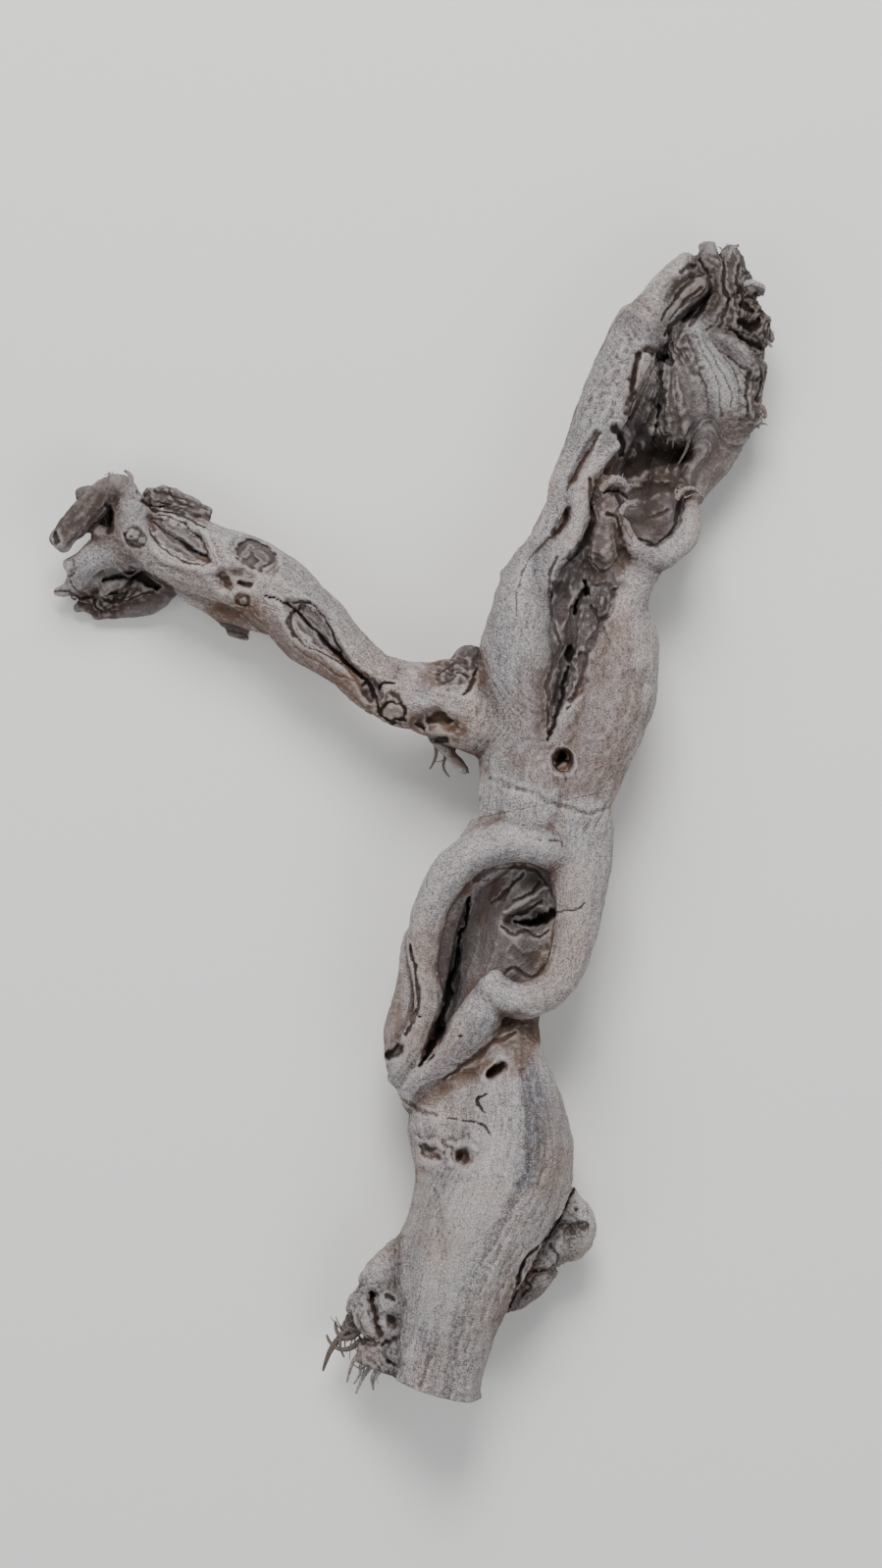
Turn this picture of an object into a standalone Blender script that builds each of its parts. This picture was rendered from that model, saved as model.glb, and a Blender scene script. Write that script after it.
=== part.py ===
"""A twisted length of sandblasted grapevine wood, lying on its back, in metres with +Z up.

An old vine grows as ropes of live wood that roll over a dead heart. Each rope, burl and stub is a
tapering strand. All strands fuse into one wood, pits and cracks are pressed into it, its butt is
sawn, its underside is worn flat where it rests, and it is split where it forks.
"""


import bmesh
import bpy
import numpy as np
from mathutils import Vector

# Driving sizes, in metres
WOOD_LENGTH = 0.594
VOXEL = 0.002
FORK_GAP = 0.0003
TRIANGLES = 9300

# The strands are drawn for this length, in millimetres, seen from above: across to the right from
# DRAWN_MIDDLE[0], down from DRAWN_MIDDLE[1], and the height above the surface that it lies on.
DRAWN_LENGTH = 594.0
DRAWN_MIDDLE = (209.3, 418.5)
MILLIMETRE = WOOD_LENGTH / DRAWN_LENGTH

# Each strand is a row of (across, down, height, radius), from one end to the other.
# The butt: broad live wood over a round back.
BUTT = {
    "butt_back": [
        (223, 724, 32, 18), (227, 690, 32, 21), (233, 660, 30, 26), (242, 630, 30, 31.5),
        (250, 600, 31, 34), (250, 570, 30, 32.5), (248, 545, 28, 28), (250, 515, 25, 24),
        (257, 485, 23, 22), (264, 455, 23, 21), (272, 430, 28, 25), (278, 408, 34, 28),
        (283, 385, 32, 29), (288, 355, 29, 27), (290, 325, 27, 24), (296, 300, 27, 22),
    ],
    "butt_middle": [
        (264, 522, 36, 11), (260, 537, 42, 18), (259, 552, 46, 24), (259, 572, 48, 29),
        (257, 595, 49, 32), (248, 620, 48, 32), (237, 645, 46, 30), (229, 670, 44, 26),
        (224, 695, 42, 23), (221, 724, 41, 21),
    ],
    "butt_right": [
        (265, 526, 36, 9), (262, 540, 39, 14.5), (261, 552, 40, 21), (264, 568, 40, 24.5),
        (266, 585, 41, 26), (266, 600, 41, 26), (258, 618, 41, 25), (246, 636, 40, 24),
        (240, 655, 39, 23), (232, 678, 38, 21), (227, 700, 37, 19), (226, 724, 37, 19),
    ],
    "butt_left": [
        (228, 545, 38, 12), (227, 556, 40, 18), (230, 568, 40, 24), (235, 584, 40, 26),
        (237, 602, 40, 26), (233, 620, 40, 25), (226, 640, 40, 24), (221, 660, 39, 22),
        (218, 682, 38, 20), (216, 702, 37, 18), (216, 718, 37, 16),
    ],
}
# The root burr on the left of the butt, and the burl that its right edge has grown over.
BURRS = {
    "burr_top": [(212, 640, 36, 12), (199, 650, 36, 13), (191, 655, 34, 11), (186, 657, 32, 7)],
    "burr_middle": [(214, 662, 34, 18), (198, 670, 36, 18), (188, 668, 34, 13), (179, 666, 30, 6)],
    "burr_foot": [(216, 688, 32, 20), (202, 690, 34, 17), (193, 694, 32, 13), (190, 702, 30, 8)],
    "burr_lip": [(200, 700, 36, 8), (197, 706, 34, 4.5), (190, 705, 32, 4)],
    "burr_root": [(188, 668, 30, 9), (178, 680, 27, 7), (171, 690, 24, 5), (165.5, 700, 21, 3)],
    "burr_fibres": [(196, 694, 30, 8), (187, 702, 27, 6), (182, 711, 24, 3)],
    "burl_head": [(292, 614, 27, 6), (296, 622, 27, 8), (295, 633, 26, 9), (288, 640, 25, 7)],
    "burl_body": [(266, 640, 26, 12), (280, 636, 25, 12), (288, 632, 26, 11)],
    "burl_foot": [(262, 652, 26, 9), (272, 654, 24, 8), (279, 654, 26, 5)],
    "burl_heel": [(256, 664, 26, 8), (266, 662, 24, 7), (275, 658, 22, 5), (282, 649, 22, 4)],
    "burl_cap": [(288, 622, 28, 7), (292, 607, 27, 3.5)],
}
# The loop: two ropes close round a hollow, and fold over each other at its foot.
LOOP = {
    "loop_left": [
        (292, 438, 56, 10), (283, 434, 59, 10), (268, 429, 61, 11), (250, 431, 61, 11),
        (237, 438, 60, 10.5), (226.5, 449, 58, 10), (219, 465, 56, 9), (216, 480, 54, 8.3),
        (216, 495, 53, 6.8), (219, 510, 53, 6.8), (217, 521, 51, 7.4), (212, 531, 49, 8),
        (206, 541, 46, 7.5), (203, 552, 42, 7),
    ],
    "loop_left_keel": [
        (262, 428, 44, 14), (246, 436, 42, 14), (232, 450, 40, 13), (224, 466, 38, 12),
        (221, 484, 36, 11), (221, 502, 36, 10), (221, 520, 36, 11), (216, 538, 36, 13),
        (215, 552, 35, 14),
    ],
    "outer_rope": [
        (212, 474, 40, 4.5), (209.5, 484, 41, 5.5), (208.5, 500, 42, 6.3), (205.5, 513, 43, 6.6),
        (202, 525, 43, 6.4), (200.5, 535, 42, 5), (202, 545, 40, 6),
    ],
    "loop_right": [
        (292, 408, 48, 18), (296, 424, 52, 17), (296.5, 438, 55, 16), (295.5, 450, 57, 15),
        (294.5, 464, 57, 12.3), (291.5, 480, 56, 10.8), (287, 495, 56, 10), (277, 506, 56, 9.7),
        (264, 509, 57, 9.6), (254, 505, 57.5, 9.2), (248.5, 498.5, 57.5, 7.6),
    ],
    "loop_right_keel": [
        (287, 425, 38, 18), (289, 445, 38, 17), (287, 465, 37, 15), (283, 482, 36, 13),
        (276, 496, 36, 12), (266, 506, 36, 12), (262, 522, 36, 13), (262, 538, 37, 15),
    ],
    "fold_upper": [
        (250, 504, 54, 8), (247, 512, 54, 11), (242, 522, 53, 12.5), (235, 532, 51, 12.5),
        (226, 542, 49, 11.5), (216, 550, 46, 10.5), (207, 557, 42, 9),
    ],
    "fold_lower": [
        (262, 529, 48, 7), (255, 535, 51, 8), (245, 541, 51, 8), (232, 549, 49, 8.5),
        (218, 557, 46, 8.5), (208, 562, 41, 7.5),
    ],
    "loop_heart": [
        (270, 436, 32, 13), (268, 455, 33, 15), (262, 472, 34, 15.5), (257, 490, 34, 15),
        (249, 508, 33, 14), (240, 524, 32, 13), (230, 538, 32, 12),
    ],
    "loop_heart_right": [(276, 450, 32, 14), (274, 470, 33, 14), (270, 488, 33, 13)],
    "loop_heart_left": [
        (244, 450, 36, 8), (234, 466, 36, 9), (229, 484, 34, 10), (227, 504, 31, 10),
        (223, 526, 28, 11),
    ],
}
# The middle: a collar, then two lobes with a channel of dead wood between them.
MIDDLE = {
    "collar": [(267, 421, 45, 23.5), (271, 406, 45, 26), (268, 392, 45, 24)],
    "collar_right": [(290, 424, 44, 21), (289, 408, 45, 21), (292, 392, 45, 22)],
    "waist_left": [(264, 392, 47, 19), (257, 408, 49, 15), (250, 422, 53, 11.5), (240, 433, 57, 9)],
    "waist_right": [(294, 398, 48, 17), (293, 414, 51, 18), (288, 428, 54, 14)],
    "lobe_left": [
        (272, 404, 45, 22), (266, 388, 46, 22), (262, 368, 46, 19.5), (261.5, 350, 46, 18),
        (263, 332, 46, 18.5), (264.5, 316, 47, 16.5), (267, 300, 48, 13.5), (272, 288, 49, 9.5),
    ],
    "lobe_right": [
        (291, 406, 45, 21), (298, 392, 45, 20), (307, 376, 45, 19.5), (314, 358, 45, 19.5),
        (317.5, 340, 45, 18.5), (319, 325, 44, 16.5), (318, 311, 43, 13.5),
        (322, 299, 43, 10.5), (329, 289, 44, 9),
    ],
    "channel_heart": [
        (304, 288, 34, 11), (296, 303, 34, 12), (292, 320, 33, 12), (290, 337, 33, 12),
        (287, 354, 33, 12), (283, 370, 36, 12),
    ],
    "channel_knot": [(303, 300, 44, 7), (307, 307, 46, 7.5), (306, 315, 44, 5)],
}
# The upper limb: live wood down its left side, a hook on its right, and rotten wood in its hollow.
LIMB = {
    "limb_left": [
        (352, 131, 40, 4), (346, 138, 42, 7), (336.5, 153, 45, 10), (326, 169, 48, 12.5),
        (317.5, 186, 50, 14), (310, 203, 51, 14), (303, 219, 51, 12.5), (295, 233, 50, 9.5),
        (288, 246, 49, 8), (284.5, 258, 48, 7), (280, 270, 47, 7.5), (272, 284, 46, 9),
        (265, 298, 45, 12),
    ],
    "limb_left_keel": [
        (330, 160, 32, 15), (320, 190, 30, 18), (310, 212, 30, 17), (302, 235, 30, 16),
        (296, 256, 30, 16), (289, 276, 29, 19), (284, 296, 28, 22),
    ],
    "limb_back": [
        (358, 138, 24, 14), (354, 158, 19, 18.5), (352, 180, 17, 19), (350, 203, 16, 18),
        (343, 225, 14, 14), (336, 245, 14, 13), (328, 264, 19, 16), (316, 284, 24, 20),
        (306, 300, 27, 22),
    ],
    "limb_right": [
        (376, 156, 28, 13), (377, 176, 27, 14), (375, 196, 27, 15), (372, 212, 27, 14),
        (365, 229, 27, 12), (357, 243, 30, 9.5), (353, 254, 35, 6),
    ],
    "inner_rope": [
        (314, 226, 52, 4), (308, 231, 53, 5), (302, 239, 54, 5.5), (297, 248, 54, 5.5),
        (295, 257, 54, 5.3), (295, 266, 53, 5.3), (291, 274, 53, 6), (285, 281, 52, 7),
        (278, 289, 51, 8), (272, 300, 50, 9),
    ],
    "hook": [
        (352, 256, 41, 4), (352.5, 263, 43, 5.5), (350, 272, 45, 6.5), (343, 280, 46, 6.8),
        (334, 284.5, 47, 6.5), (326, 282, 47, 5.2), (320.5, 275, 47, 4), (317.5, 265, 47, 3),
    ],
    "lip": [(306, 251, 46, 6), (309, 262, 45, 8), (309, 275, 43, 8.5), (304, 288, 41, 9)],
    "lip_fin": [(302, 250, 50, 2.4), (308, 246, 52, 3), (314, 245.5, 52, 3), (319, 247, 51, 2)],
    "pocket": [
        (342, 228, 14, 11), (345, 243, 18, 12), (341, 259, 23, 13), (335, 271, 27, 12),
        (325, 284, 32, 11),
    ],
    "limb_floor": [(326, 212, 17, 12), (323, 230, 18, 12), (321, 248, 21, 12), (322, 264, 25, 12)],
    "cavity_stub": [(329, 184, 42, 5), (329, 197, 43, 7), (327, 210, 41, 7.5), (323, 224, 35, 6)],
    "cavity_mass": [(340, 186, 40, 6), (343, 198, 41, 9), (346, 210, 40, 9.5), (347, 221, 35, 7)],
    "cavity_web": [(335, 186, 34, 7), (336, 202, 34, 9), (335, 218, 31, 8)],
    "cavity_sweep": [
        (353, 165, 42, 8.5), (360, 180, 38, 12), (366, 195, 36, 13), (369, 209, 34, 12),
        (370, 219, 31, 9),
    ],
    "fan_left": [(346, 168, 42, 7), (350, 181, 40, 9), (354, 196, 38, 10.5), (357, 212, 35, 10)],
    "fan_right": [(362, 171, 40, 7), (372, 183, 36, 9.5), (377, 196, 34, 11), (379, 210, 32, 9.5)],
    "limb_wall": [(361, 216, 36, 8), (359, 228, 34, 7), (354, 240, 34, 5.5), (348, 251, 37, 4.5)],
    "cavity_brow": [(322, 170, 55, 4), (329, 168, 57, 4.5), (335, 170, 56, 3.5), (338, 175, 53, 2.5)],
}
# The head of the limb, torn and fluted.
HEAD = {
    "head_spur": [(361, 143, 48, 3.5), (354, 148, 49, 6), (346, 155, 49, 7), (338, 165, 47, 6.5)],
    "head_notch": [(355.5, 131, 36, 4), (356, 140, 38, 6), (352, 156, 38, 8)],
    "head_knob": [
        (361, 123.5, 38, 4.5), (362, 133, 40, 5.5), (367, 145, 42, 6), (368, 155, 42, 6),
        (360, 168, 41, 6.5),
    ],
    "head_flute": [
        (372, 124.5, 34, 4), (375, 136, 37, 5.5), (373, 147, 39, 6), (376, 158, 39, 6),
        (369, 170, 40, 7),
    ],
    "head_crest": [(376, 130, 32, 4.5), (378, 144, 34, 6), (380, 158, 35, 7)],
    "head_web": [(364, 132, 33, 7.5), (366, 146, 34, 11), (364, 160, 35, 12), (358, 170, 35, 10)],
    "head_ledge": [(374, 146, 35, 4), (382, 145.5, 36, 3.8), (389.5, 147, 35, 3.2)],
    "head_char": [(374, 150, 36, 7), (382, 160, 36, 7), (387, 168, 35, 6.5), (385, 175, 35, 5)],
    "head_thorn": [(384, 166, 37, 4.5), (390, 168, 36, 4), (392, 174, 35, 3)],
    "head_ridge": [(365, 170, 46, 3), (371, 174, 46, 3.5), (378, 180, 43, 4.5), (384, 190, 38, 5)],
    "head_edge": [(388, 184, 34, 4), (385, 196, 34, 6), (383, 208, 33, 6), (386, 216, 33, 4)],
}
# The side arm, thick with spurs, and the knuckle and stubs at its tip.
ARM = {
    "arm": [
        (268, 378, 44, 19), (255, 370, 44, 20), (240, 364, 44, 20), (217, 356, 44, 18.5),
        (199, 353, 43, 15), (180, 338, 42, 14.6), (162, 323, 40, 18.5), (144, 305, 38, 19.5),
        (125, 292, 36, 19.5), (106, 286, 34, 19.5), (88, 279, 32, 18.5), (71, 272, 30, 16),
        (62, 266, 29, 12),
    ],
    "arm_top": [(246, 350, 42, 14), (228, 350, 42, 13), (210, 349, 42, 11), (196, 344, 42, 10)],
    "arm_belly": [(140, 312, 30, 12), (124, 309, 28, 10), (108, 304, 26, 10), (92, 294, 24, 9)],
    "arm_strip": [(73, 252, 24, 4), (82, 252, 25, 6), (93, 256, 26, 7), (105, 264, 27, 7)],
    "arm_peg": [(122, 305, 24, 7), (122, 316, 20, 6), (123, 322, 18, 4)],
    "arm_tendril": [(222, 374, 34, 5), (228, 383, 34, 3.4), (238, 393.5, 33, 2.6)],
    "arm_crumb": [(243, 341, 36, 8), (240, 334, 34, 5.5), (233, 339, 36, 5), (225, 343, 38, 5)],
    "knuckle": [(60, 243, 34, 3.5), (63, 250, 35, 6.5), (66, 260, 35, 9.5), (69, 272, 33, 13)],
    "cane_stub": [
        (60, 246, 36, 6), (54, 250, 37, 7.3), (44, 260, 38, 7.4), (35, 269, 39, 7.2),
        (29, 277, 40, 6.6),
    ],
    "back_stub": [(46, 250, 28, 4), (38, 251, 25, 4)],
    "thin_stub": [(53, 273, 34, 3.5), (46, 268, 35, 2.8)],
    "knuckle_floor": [(60, 254, 25, 6), (54, 264, 23, 6), (50, 276, 22, 7)],
    "spur_upper": [(66, 280, 26, 13), (54, 282, 27, 10), (44, 283, 27, 8.5), (39, 290, 22, 9)],
    "spur_stub": [(42, 284, 28, 6), (34, 288, 28, 4.6), (31, 289, 28, 4.6)],
    "spur_tip": [(44, 289, 20, 9.5), (35, 297, 14, 7.5), (28, 299.5, 11, 5), (24, 300.5, 10, 3.4)],
    "spur_lower": [
        (84, 290, 20, 12), (70, 299, 13, 10), (56, 303, 8, 9.8), (45, 306, 7, 9), (35, 308, 6, 6),
    ],
    "spur_ring": [(60, 297, 16, 9), (54, 302, 19, 7)],
}
STRANDS = {**BUTT, **BURRS, **LOOP, **MIDDLE, **LIMB, **HEAD, **ARM}

# Hollows pressed down into the upper side: a row of (across, down, half width), and a depth.
HOLLOWS = {
    "loop_slit": ([(239, 458, 2), (234, 480, 3), (230, 504, 3.5), (225, 522, 3.5), (216, 540, 1.5)], 7),
    "loop_pit": ([(260, 470, 3), (268, 470, 6), (276, 469, 4)], 9),
    "limb_deep": ([(334, 226, 4), (342, 229, 6), (350, 230, 4)], 4),
    "limb_cleft": ([(336, 184, 2), (336, 200, 2), (335, 218, 2)], 4),
    "limb_groove": ([(304, 221, 2), (298, 232, 3), (291, 246, 2.5)], 7),
    "limb_scallop": ([(290, 260, 2), (287, 267, 4), (282, 272, 2)], 6),
    "channel_bowl": ([(301, 292, 8), (297, 306, 11), (291, 326, 9), (287, 346, 6), (281, 366, 2)], 7),
    "channel_cleft": ([(299, 300, 2), (293, 312, 2.5), (289, 334, 3.5), (284, 358, 2)], 7),
    "knot_hole": ([(286, 386, 3.5), (286, 389, 4.5)], 9),
    "fold_hole": ([(249, 547, 3), (256, 542, 3.5)], 8),
    "butt_hole": ([(235.5, 588, 3.4), (237.5, 589, 3.4)], 8),
    "burr_holes": ([(190, 662, 3), (191, 675, 2.5), (199, 673, 5)], 8),
    "burl_hole": ([(293, 628, 3), (297, 627, 3.5)], 4),
    "arm_lens": ([(77, 264, 3), (84, 270, 7), (94, 277, 8), (106, 286, 2)], 6),
    "arm_round": ([(124, 279, 6), (132, 284, 7), (138, 290, 4)], 5),
    "arm_eyes": ([(115, 296, 5), (125, 295, 5)], 5),
    "arm_cleft": ([(148, 309, 3), (158, 318, 8), (167, 328, 5), (180, 342, 2), (190, 352, 5)], 7),
    "arm_window": ([(213, 369, 4), (222, 367, 5), (229, 369, 4)], 6),
}

# The saw cut across the butt, and the planes where the wood forks: a point and the way it faces.
SAW_CUT = ((229, 711.5, 60), (-0.27, -0.95, -0.10))
WAIST_PLANE = ((278, 410, 40), (-0.20, 0.98, 0.0))
ARM_PLANE = ((242.6, 362, 42), (-1.0, -0.03, 0.0))


def place(across, down, height):
    """A drawn point in metres, with the middle of the wood's outline at X = Y = 0."""
    return Vector((across - DRAWN_MIDDLE[0], DRAWN_MIDDLE[1] - down, height)) * MILLIMETRE


def strand_mesh(name, points):
    """A tapering round strand through the points, as a closed mesh."""
    curve = bpy.data.curves.new(name, "CURVE")
    curve.dimensions = "3D"
    curve.bevel_depth = MILLIMETRE
    curve.bevel_resolution = 5
    curve.resolution_u = 5
    curve.use_fill_caps = True
    spline = curve.splines.new("BEZIER")
    spline.bezier_points.add(len(points) - 1)
    for knot, (across, down, height, radius) in zip(spline.bezier_points, points):
        knot.co = place(across, down, height)
        knot.radius = radius
        knot.handle_left_type = "AUTO"
        knot.handle_right_type = "AUTO"
    guide = bpy.data.objects.new(name, curve)
    bpy.context.scene.collection.objects.link(guide)
    bpy.context.view_layer.update()
    mesh = bpy.data.meshes.new_from_object(guide.evaluated_get(bpy.context.evaluated_depsgraph_get()))
    bpy.data.objects.remove(guide)
    return mesh


def applied(obj, kind, **settings):
    """Adds one modifier to the object and applies it."""
    modifier = obj.modifiers.new(kind.title(), kind)
    for key, value in settings.items():
        setattr(modifier, key, value)
    bpy.context.view_layer.update()
    mesh = bpy.data.meshes.new_from_object(obj.evaluated_get(bpy.context.evaluated_depsgraph_get()))
    obj.modifiers.clear()
    obj.data = mesh


def keep_outer_skin(obj):
    """Removes loose crumbs and the skins of sealed hollows, which leaves the largest skin."""
    form = bmesh.new()
    form.from_mesh(obj.data)
    form.verts.ensure_lookup_table()
    unseen = set(form.verts)
    skins = []
    while unseen:
        start = unseen.pop()
        skin, edge = [start], [start]
        while edge:
            for link in edge.pop().link_edges:
                for vertex in link.verts:
                    if vertex in unseen:
                        unseen.discard(vertex)
                        skin.append(vertex)
                        edge.append(vertex)
        skins.append(skin)
    skins.sort(key=len)
    crumbs = [vertex for skin in skins[:-1] for vertex in skin]
    bmesh.ops.delete(form, geom=crumbs, context="VERTS")
    form.to_mesh(obj.data)
    form.free()


def fused_strands():
    """All strands as one wood with one skin."""
    form = bmesh.new()
    for name, points in STRANDS.items():
        form.from_mesh(strand_mesh(name, points))
    bmesh.ops.remove_doubles(form, verts=form.verts, dist=1e-6)
    mesh = bpy.data.meshes.new("wood")
    form.to_mesh(mesh)
    form.free()
    wood = bpy.data.objects.new("wood", mesh)
    bpy.context.scene.collection.objects.link(wood)
    applied(wood, "REMESH", mode="VOXEL", voxel_size=VOXEL)
    keep_outer_skin(wood)
    applied(wood, "SMOOTH", factor=0.5, iterations=4)
    return wood


def share_along(points, start, end):
    """How far along the line from start to end each point lies, from 0 to 1, and how far off it."""
    line = end - start
    share = np.clip((points - start) @ line / max(float(line @ line), 1e-12), 0.0, 1.0)
    return share, np.linalg.norm(points - start - share[:, None] * line, axis=1)


def press_hollows(wood):
    """Pushes the upper skin down along each hollow, deepest on its middle line."""
    mesh = wood.data
    count = len(mesh.vertices)
    points = np.empty(count * 3, np.float32)
    normals = np.empty(count * 3, np.float32)
    mesh.vertices.foreach_get("co", points)
    mesh.vertices.foreach_get("normal", normals)
    points = points.reshape(-1, 3).astype(float)
    upper = normals.reshape(-1, 3)[:, 2] > 0.05
    for row, depth in HOLLOWS.values():
        nearness = np.zeros(count)
        for first, last in zip(row[:-1], row[1:]):
            start = np.array(place(first[0], first[1], 0)[:2])
            end = np.array(place(last[0], last[1], 0)[:2])
            share, off = share_along(points[:, :2], start, end)
            width = (first[2] + share * (last[2] - first[2])) * MILLIMETRE
            nearness = np.maximum(nearness, np.clip(1.5 - off / width, 0.0, 1.0))
        points[:, 2] -= upper * depth * MILLIMETRE * nearness ** 2 * (3 - 2 * nearness)
    mesh.vertices.foreach_set("co", points.astype(np.float32).ravel())
    mesh.update()


def cut_away(form, point, normal):
    """Removes all that lies past the plane, on the side that it faces, and closes the cut flat."""
    geometry = form.verts[:] + form.edges[:] + form.faces[:]
    made = bmesh.ops.bisect_plane(
        form, geom=geometry, dist=1e-7, plane_co=point, plane_no=normal, clear_outer=True
    )
    rim = [item for item in made["geom_cut"] if isinstance(item, bmesh.types.BMEdge)]
    bmesh.ops.holes_fill(form, edges=rim, sides=0)


def section(wood, name, cuts):
    """A copy of the wood that ends at the given planes, as a named object of its own."""
    form = bmesh.new()
    form.from_mesh(wood.data)
    for point, normal in cuts:
        cut_away(form, point, normal)
    bmesh.ops.triangulate(form, faces=form.faces[:], ngon_method="EAR_CLIP")
    mesh = bpy.data.meshes.new(name)
    form.to_mesh(mesh)
    form.free()
    piece = bpy.data.objects.new(name, mesh)
    keep_outer_skin(piece)
    return piece


def wood_finish(name, colour, roughness):
    """Bare weathered wood."""
    finish = bpy.data.materials.new(name)
    finish.use_nodes = True
    shader = finish.node_tree.nodes["Principled BSDF"]
    shader.inputs["Base Color"].default_value = (*colour, 1.0)
    shader.inputs["Roughness"].default_value = roughness
    shader.inputs["Metallic"].default_value = 0.0
    return finish


def main():
    for old in list(bpy.data.objects):
        bpy.data.objects.remove(old)
    wood = fused_strands()
    press_hollows(wood)
    applied(wood, "REMESH", mode="VOXEL", voxel_size=VOXEL)
    keep_outer_skin(wood)
    applied(wood, "SMOOTH", factor=0.4, iterations=1)
    triangles = 2 * len(wood.data.polygons)
    applied(wood, "DECIMATE", ratio=TRIANGLES / triangles, use_collapse_triangulate=True)

    saw_point, saw_normal = place(*SAW_CUT[0]), Vector(SAW_CUT[1]).normalized()
    waist_point, waist_normal = place(*WAIST_PLANE[0]), Vector(WAIST_PLANE[1]).normalized()
    arm_point, arm_normal = place(*ARM_PLANE[0]), Vector(ARM_PLANE[1]).normalized()
    underside = (Vector((0, 0, 0)), Vector((0, 0, -1)))
    half_gap = FORK_GAP / 2
    above_waist = (waist_point + waist_normal * half_gap, -waist_normal)
    sections = {
        "trunk": [(saw_point, saw_normal), (waist_point - waist_normal * half_gap, waist_normal)],
        "upper_limb": [above_waist, (arm_point - arm_normal * half_gap, arm_normal)],
        "side_arm": [above_waist, (arm_point + arm_normal * half_gap, -arm_normal)],
    }
    finish = wood_finish("sandblasted_vine", (0.42, 0.35, 0.29), 0.88)
    collection = bpy.data.collections.new("grapevine_wood")
    bpy.context.scene.collection.children.link(collection)
    for name, cuts in sections.items():
        piece = section(wood, name, [underside, *cuts])
        piece.data.materials.append(finish)
        collection.objects.link(piece)
    bpy.data.objects.remove(wood)


main()
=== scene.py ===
import bmesh
import bpy
import numpy as np
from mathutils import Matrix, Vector


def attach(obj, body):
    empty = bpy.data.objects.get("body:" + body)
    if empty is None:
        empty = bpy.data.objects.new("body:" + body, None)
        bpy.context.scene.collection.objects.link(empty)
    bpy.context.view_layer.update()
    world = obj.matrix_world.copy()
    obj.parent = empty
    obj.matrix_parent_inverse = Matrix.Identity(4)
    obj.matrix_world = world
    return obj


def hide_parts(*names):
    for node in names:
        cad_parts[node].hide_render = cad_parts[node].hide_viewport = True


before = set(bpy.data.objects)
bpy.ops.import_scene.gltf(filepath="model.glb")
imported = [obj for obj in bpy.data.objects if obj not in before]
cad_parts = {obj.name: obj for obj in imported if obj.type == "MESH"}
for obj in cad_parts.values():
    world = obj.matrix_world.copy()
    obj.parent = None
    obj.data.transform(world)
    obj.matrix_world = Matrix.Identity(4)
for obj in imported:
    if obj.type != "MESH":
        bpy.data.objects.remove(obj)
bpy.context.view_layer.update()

# The trunk: the thick lower half of an old vine, sawn off at the butt. Ropes of live wood roll over
# a dead heart and close round a hollow. It is pale, bare and sandblasted, so its fibres stand out.

# The wood is drawn from above in millimetres: across to the right from DRAWN_MIDDLE[0], down from
# DRAWN_MIDDLE[1], and the height above the floor. A strand's row is (across, down, height, radius).
MILLIMETRE = 0.001
DRAWN_MIDDLE = (209.3, 418.5)
# The butt: broad live wood over a round back.
BUTT = {
    "butt_back": [
        (223, 724, 32, 18), (227, 690, 32, 21), (233, 660, 30, 26), (242, 630, 30, 31.5),
        (250, 600, 31, 34), (250, 570, 30, 32.5), (248, 545, 28, 28), (250, 515, 25, 24),
        (257, 485, 23, 22), (264, 455, 23, 21), (272, 430, 28, 25), (278, 408, 34, 28),
        (283, 385, 32, 29), (288, 355, 29, 27), (290, 325, 27, 24), (296, 300, 27, 22),
    ],
    "butt_middle": [
        (264, 522, 36, 11), (260, 537, 42, 18), (259, 552, 46, 24), (259, 572, 48, 29),
        (257, 595, 49, 32), (248, 620, 48, 32), (237, 645, 46, 30), (229, 670, 44, 26),
        (224, 695, 42, 23), (221, 724, 41, 21),
    ],
    "butt_right": [
        (265, 526, 36, 9), (262, 540, 39, 14.5), (261, 552, 40, 21), (264, 568, 40, 24.5),
        (266, 585, 41, 26), (266, 600, 41, 26), (258, 618, 41, 25), (246, 636, 40, 24),
        (240, 655, 39, 23), (232, 678, 38, 21), (227, 700, 37, 19), (226, 724, 37, 19),
    ],
    "butt_left": [
        (228, 545, 38, 12), (227, 556, 40, 18), (230, 568, 40, 24), (235, 584, 40, 26),
        (237, 602, 40, 26), (233, 620, 40, 25), (226, 640, 40, 24), (221, 660, 39, 22),
        (218, 682, 38, 20), (216, 702, 37, 18), (216, 718, 37, 16),
    ],
    "butt_bridge": [
        (238, 553, 46, 16), (240, 566, 49, 18), (241, 582, 51, 19), (240, 600, 50, 20),
        (234, 622, 48, 19),
    ],
}
# The root burr on the left of the butt, and the burl that its right edge has grown over.
BURRS = {
    "burr_top": [(212, 640, 36, 12), (199, 650, 36, 13), (191, 655, 34, 11), (186, 657, 32, 7)],
    "burr_middle": [(214, 662, 34, 18), (198, 670, 36, 18), (188, 668, 34, 13), (179, 666, 30, 6)],
    "burr_foot": [(216, 688, 32, 20), (202, 690, 34, 17), (193, 694, 32, 13), (190, 702, 30, 8)],
    "burr_lip": [(200, 700, 36, 8), (197, 706, 34, 4.5), (190, 705, 32, 4)],
    "burr_root": [(188, 668, 30, 9), (181, 676, 28, 6), (176, 682, 26, 3.5)],
    "burr_fibres": [(196, 694, 30, 8), (190, 699, 28, 5), (186, 703, 26, 3)],
    "burl_head": [(292, 614, 27, 6), (296, 622, 27, 8), (295, 633, 26, 9), (288, 640, 25, 7)],
    "burl_body": [(266, 640, 26, 12), (280, 636, 25, 12), (288, 632, 26, 11)],
    "burl_foot": [(262, 652, 26, 9), (272, 654, 24, 8), (279, 654, 26, 5)],
    "burl_heel": [(256, 664, 26, 8), (266, 662, 24, 7), (275, 658, 22, 5), (282, 649, 22, 4)],
    "burl_cap": [(288, 622, 28, 7), (292, 607, 27, 3.5)],
}
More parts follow.
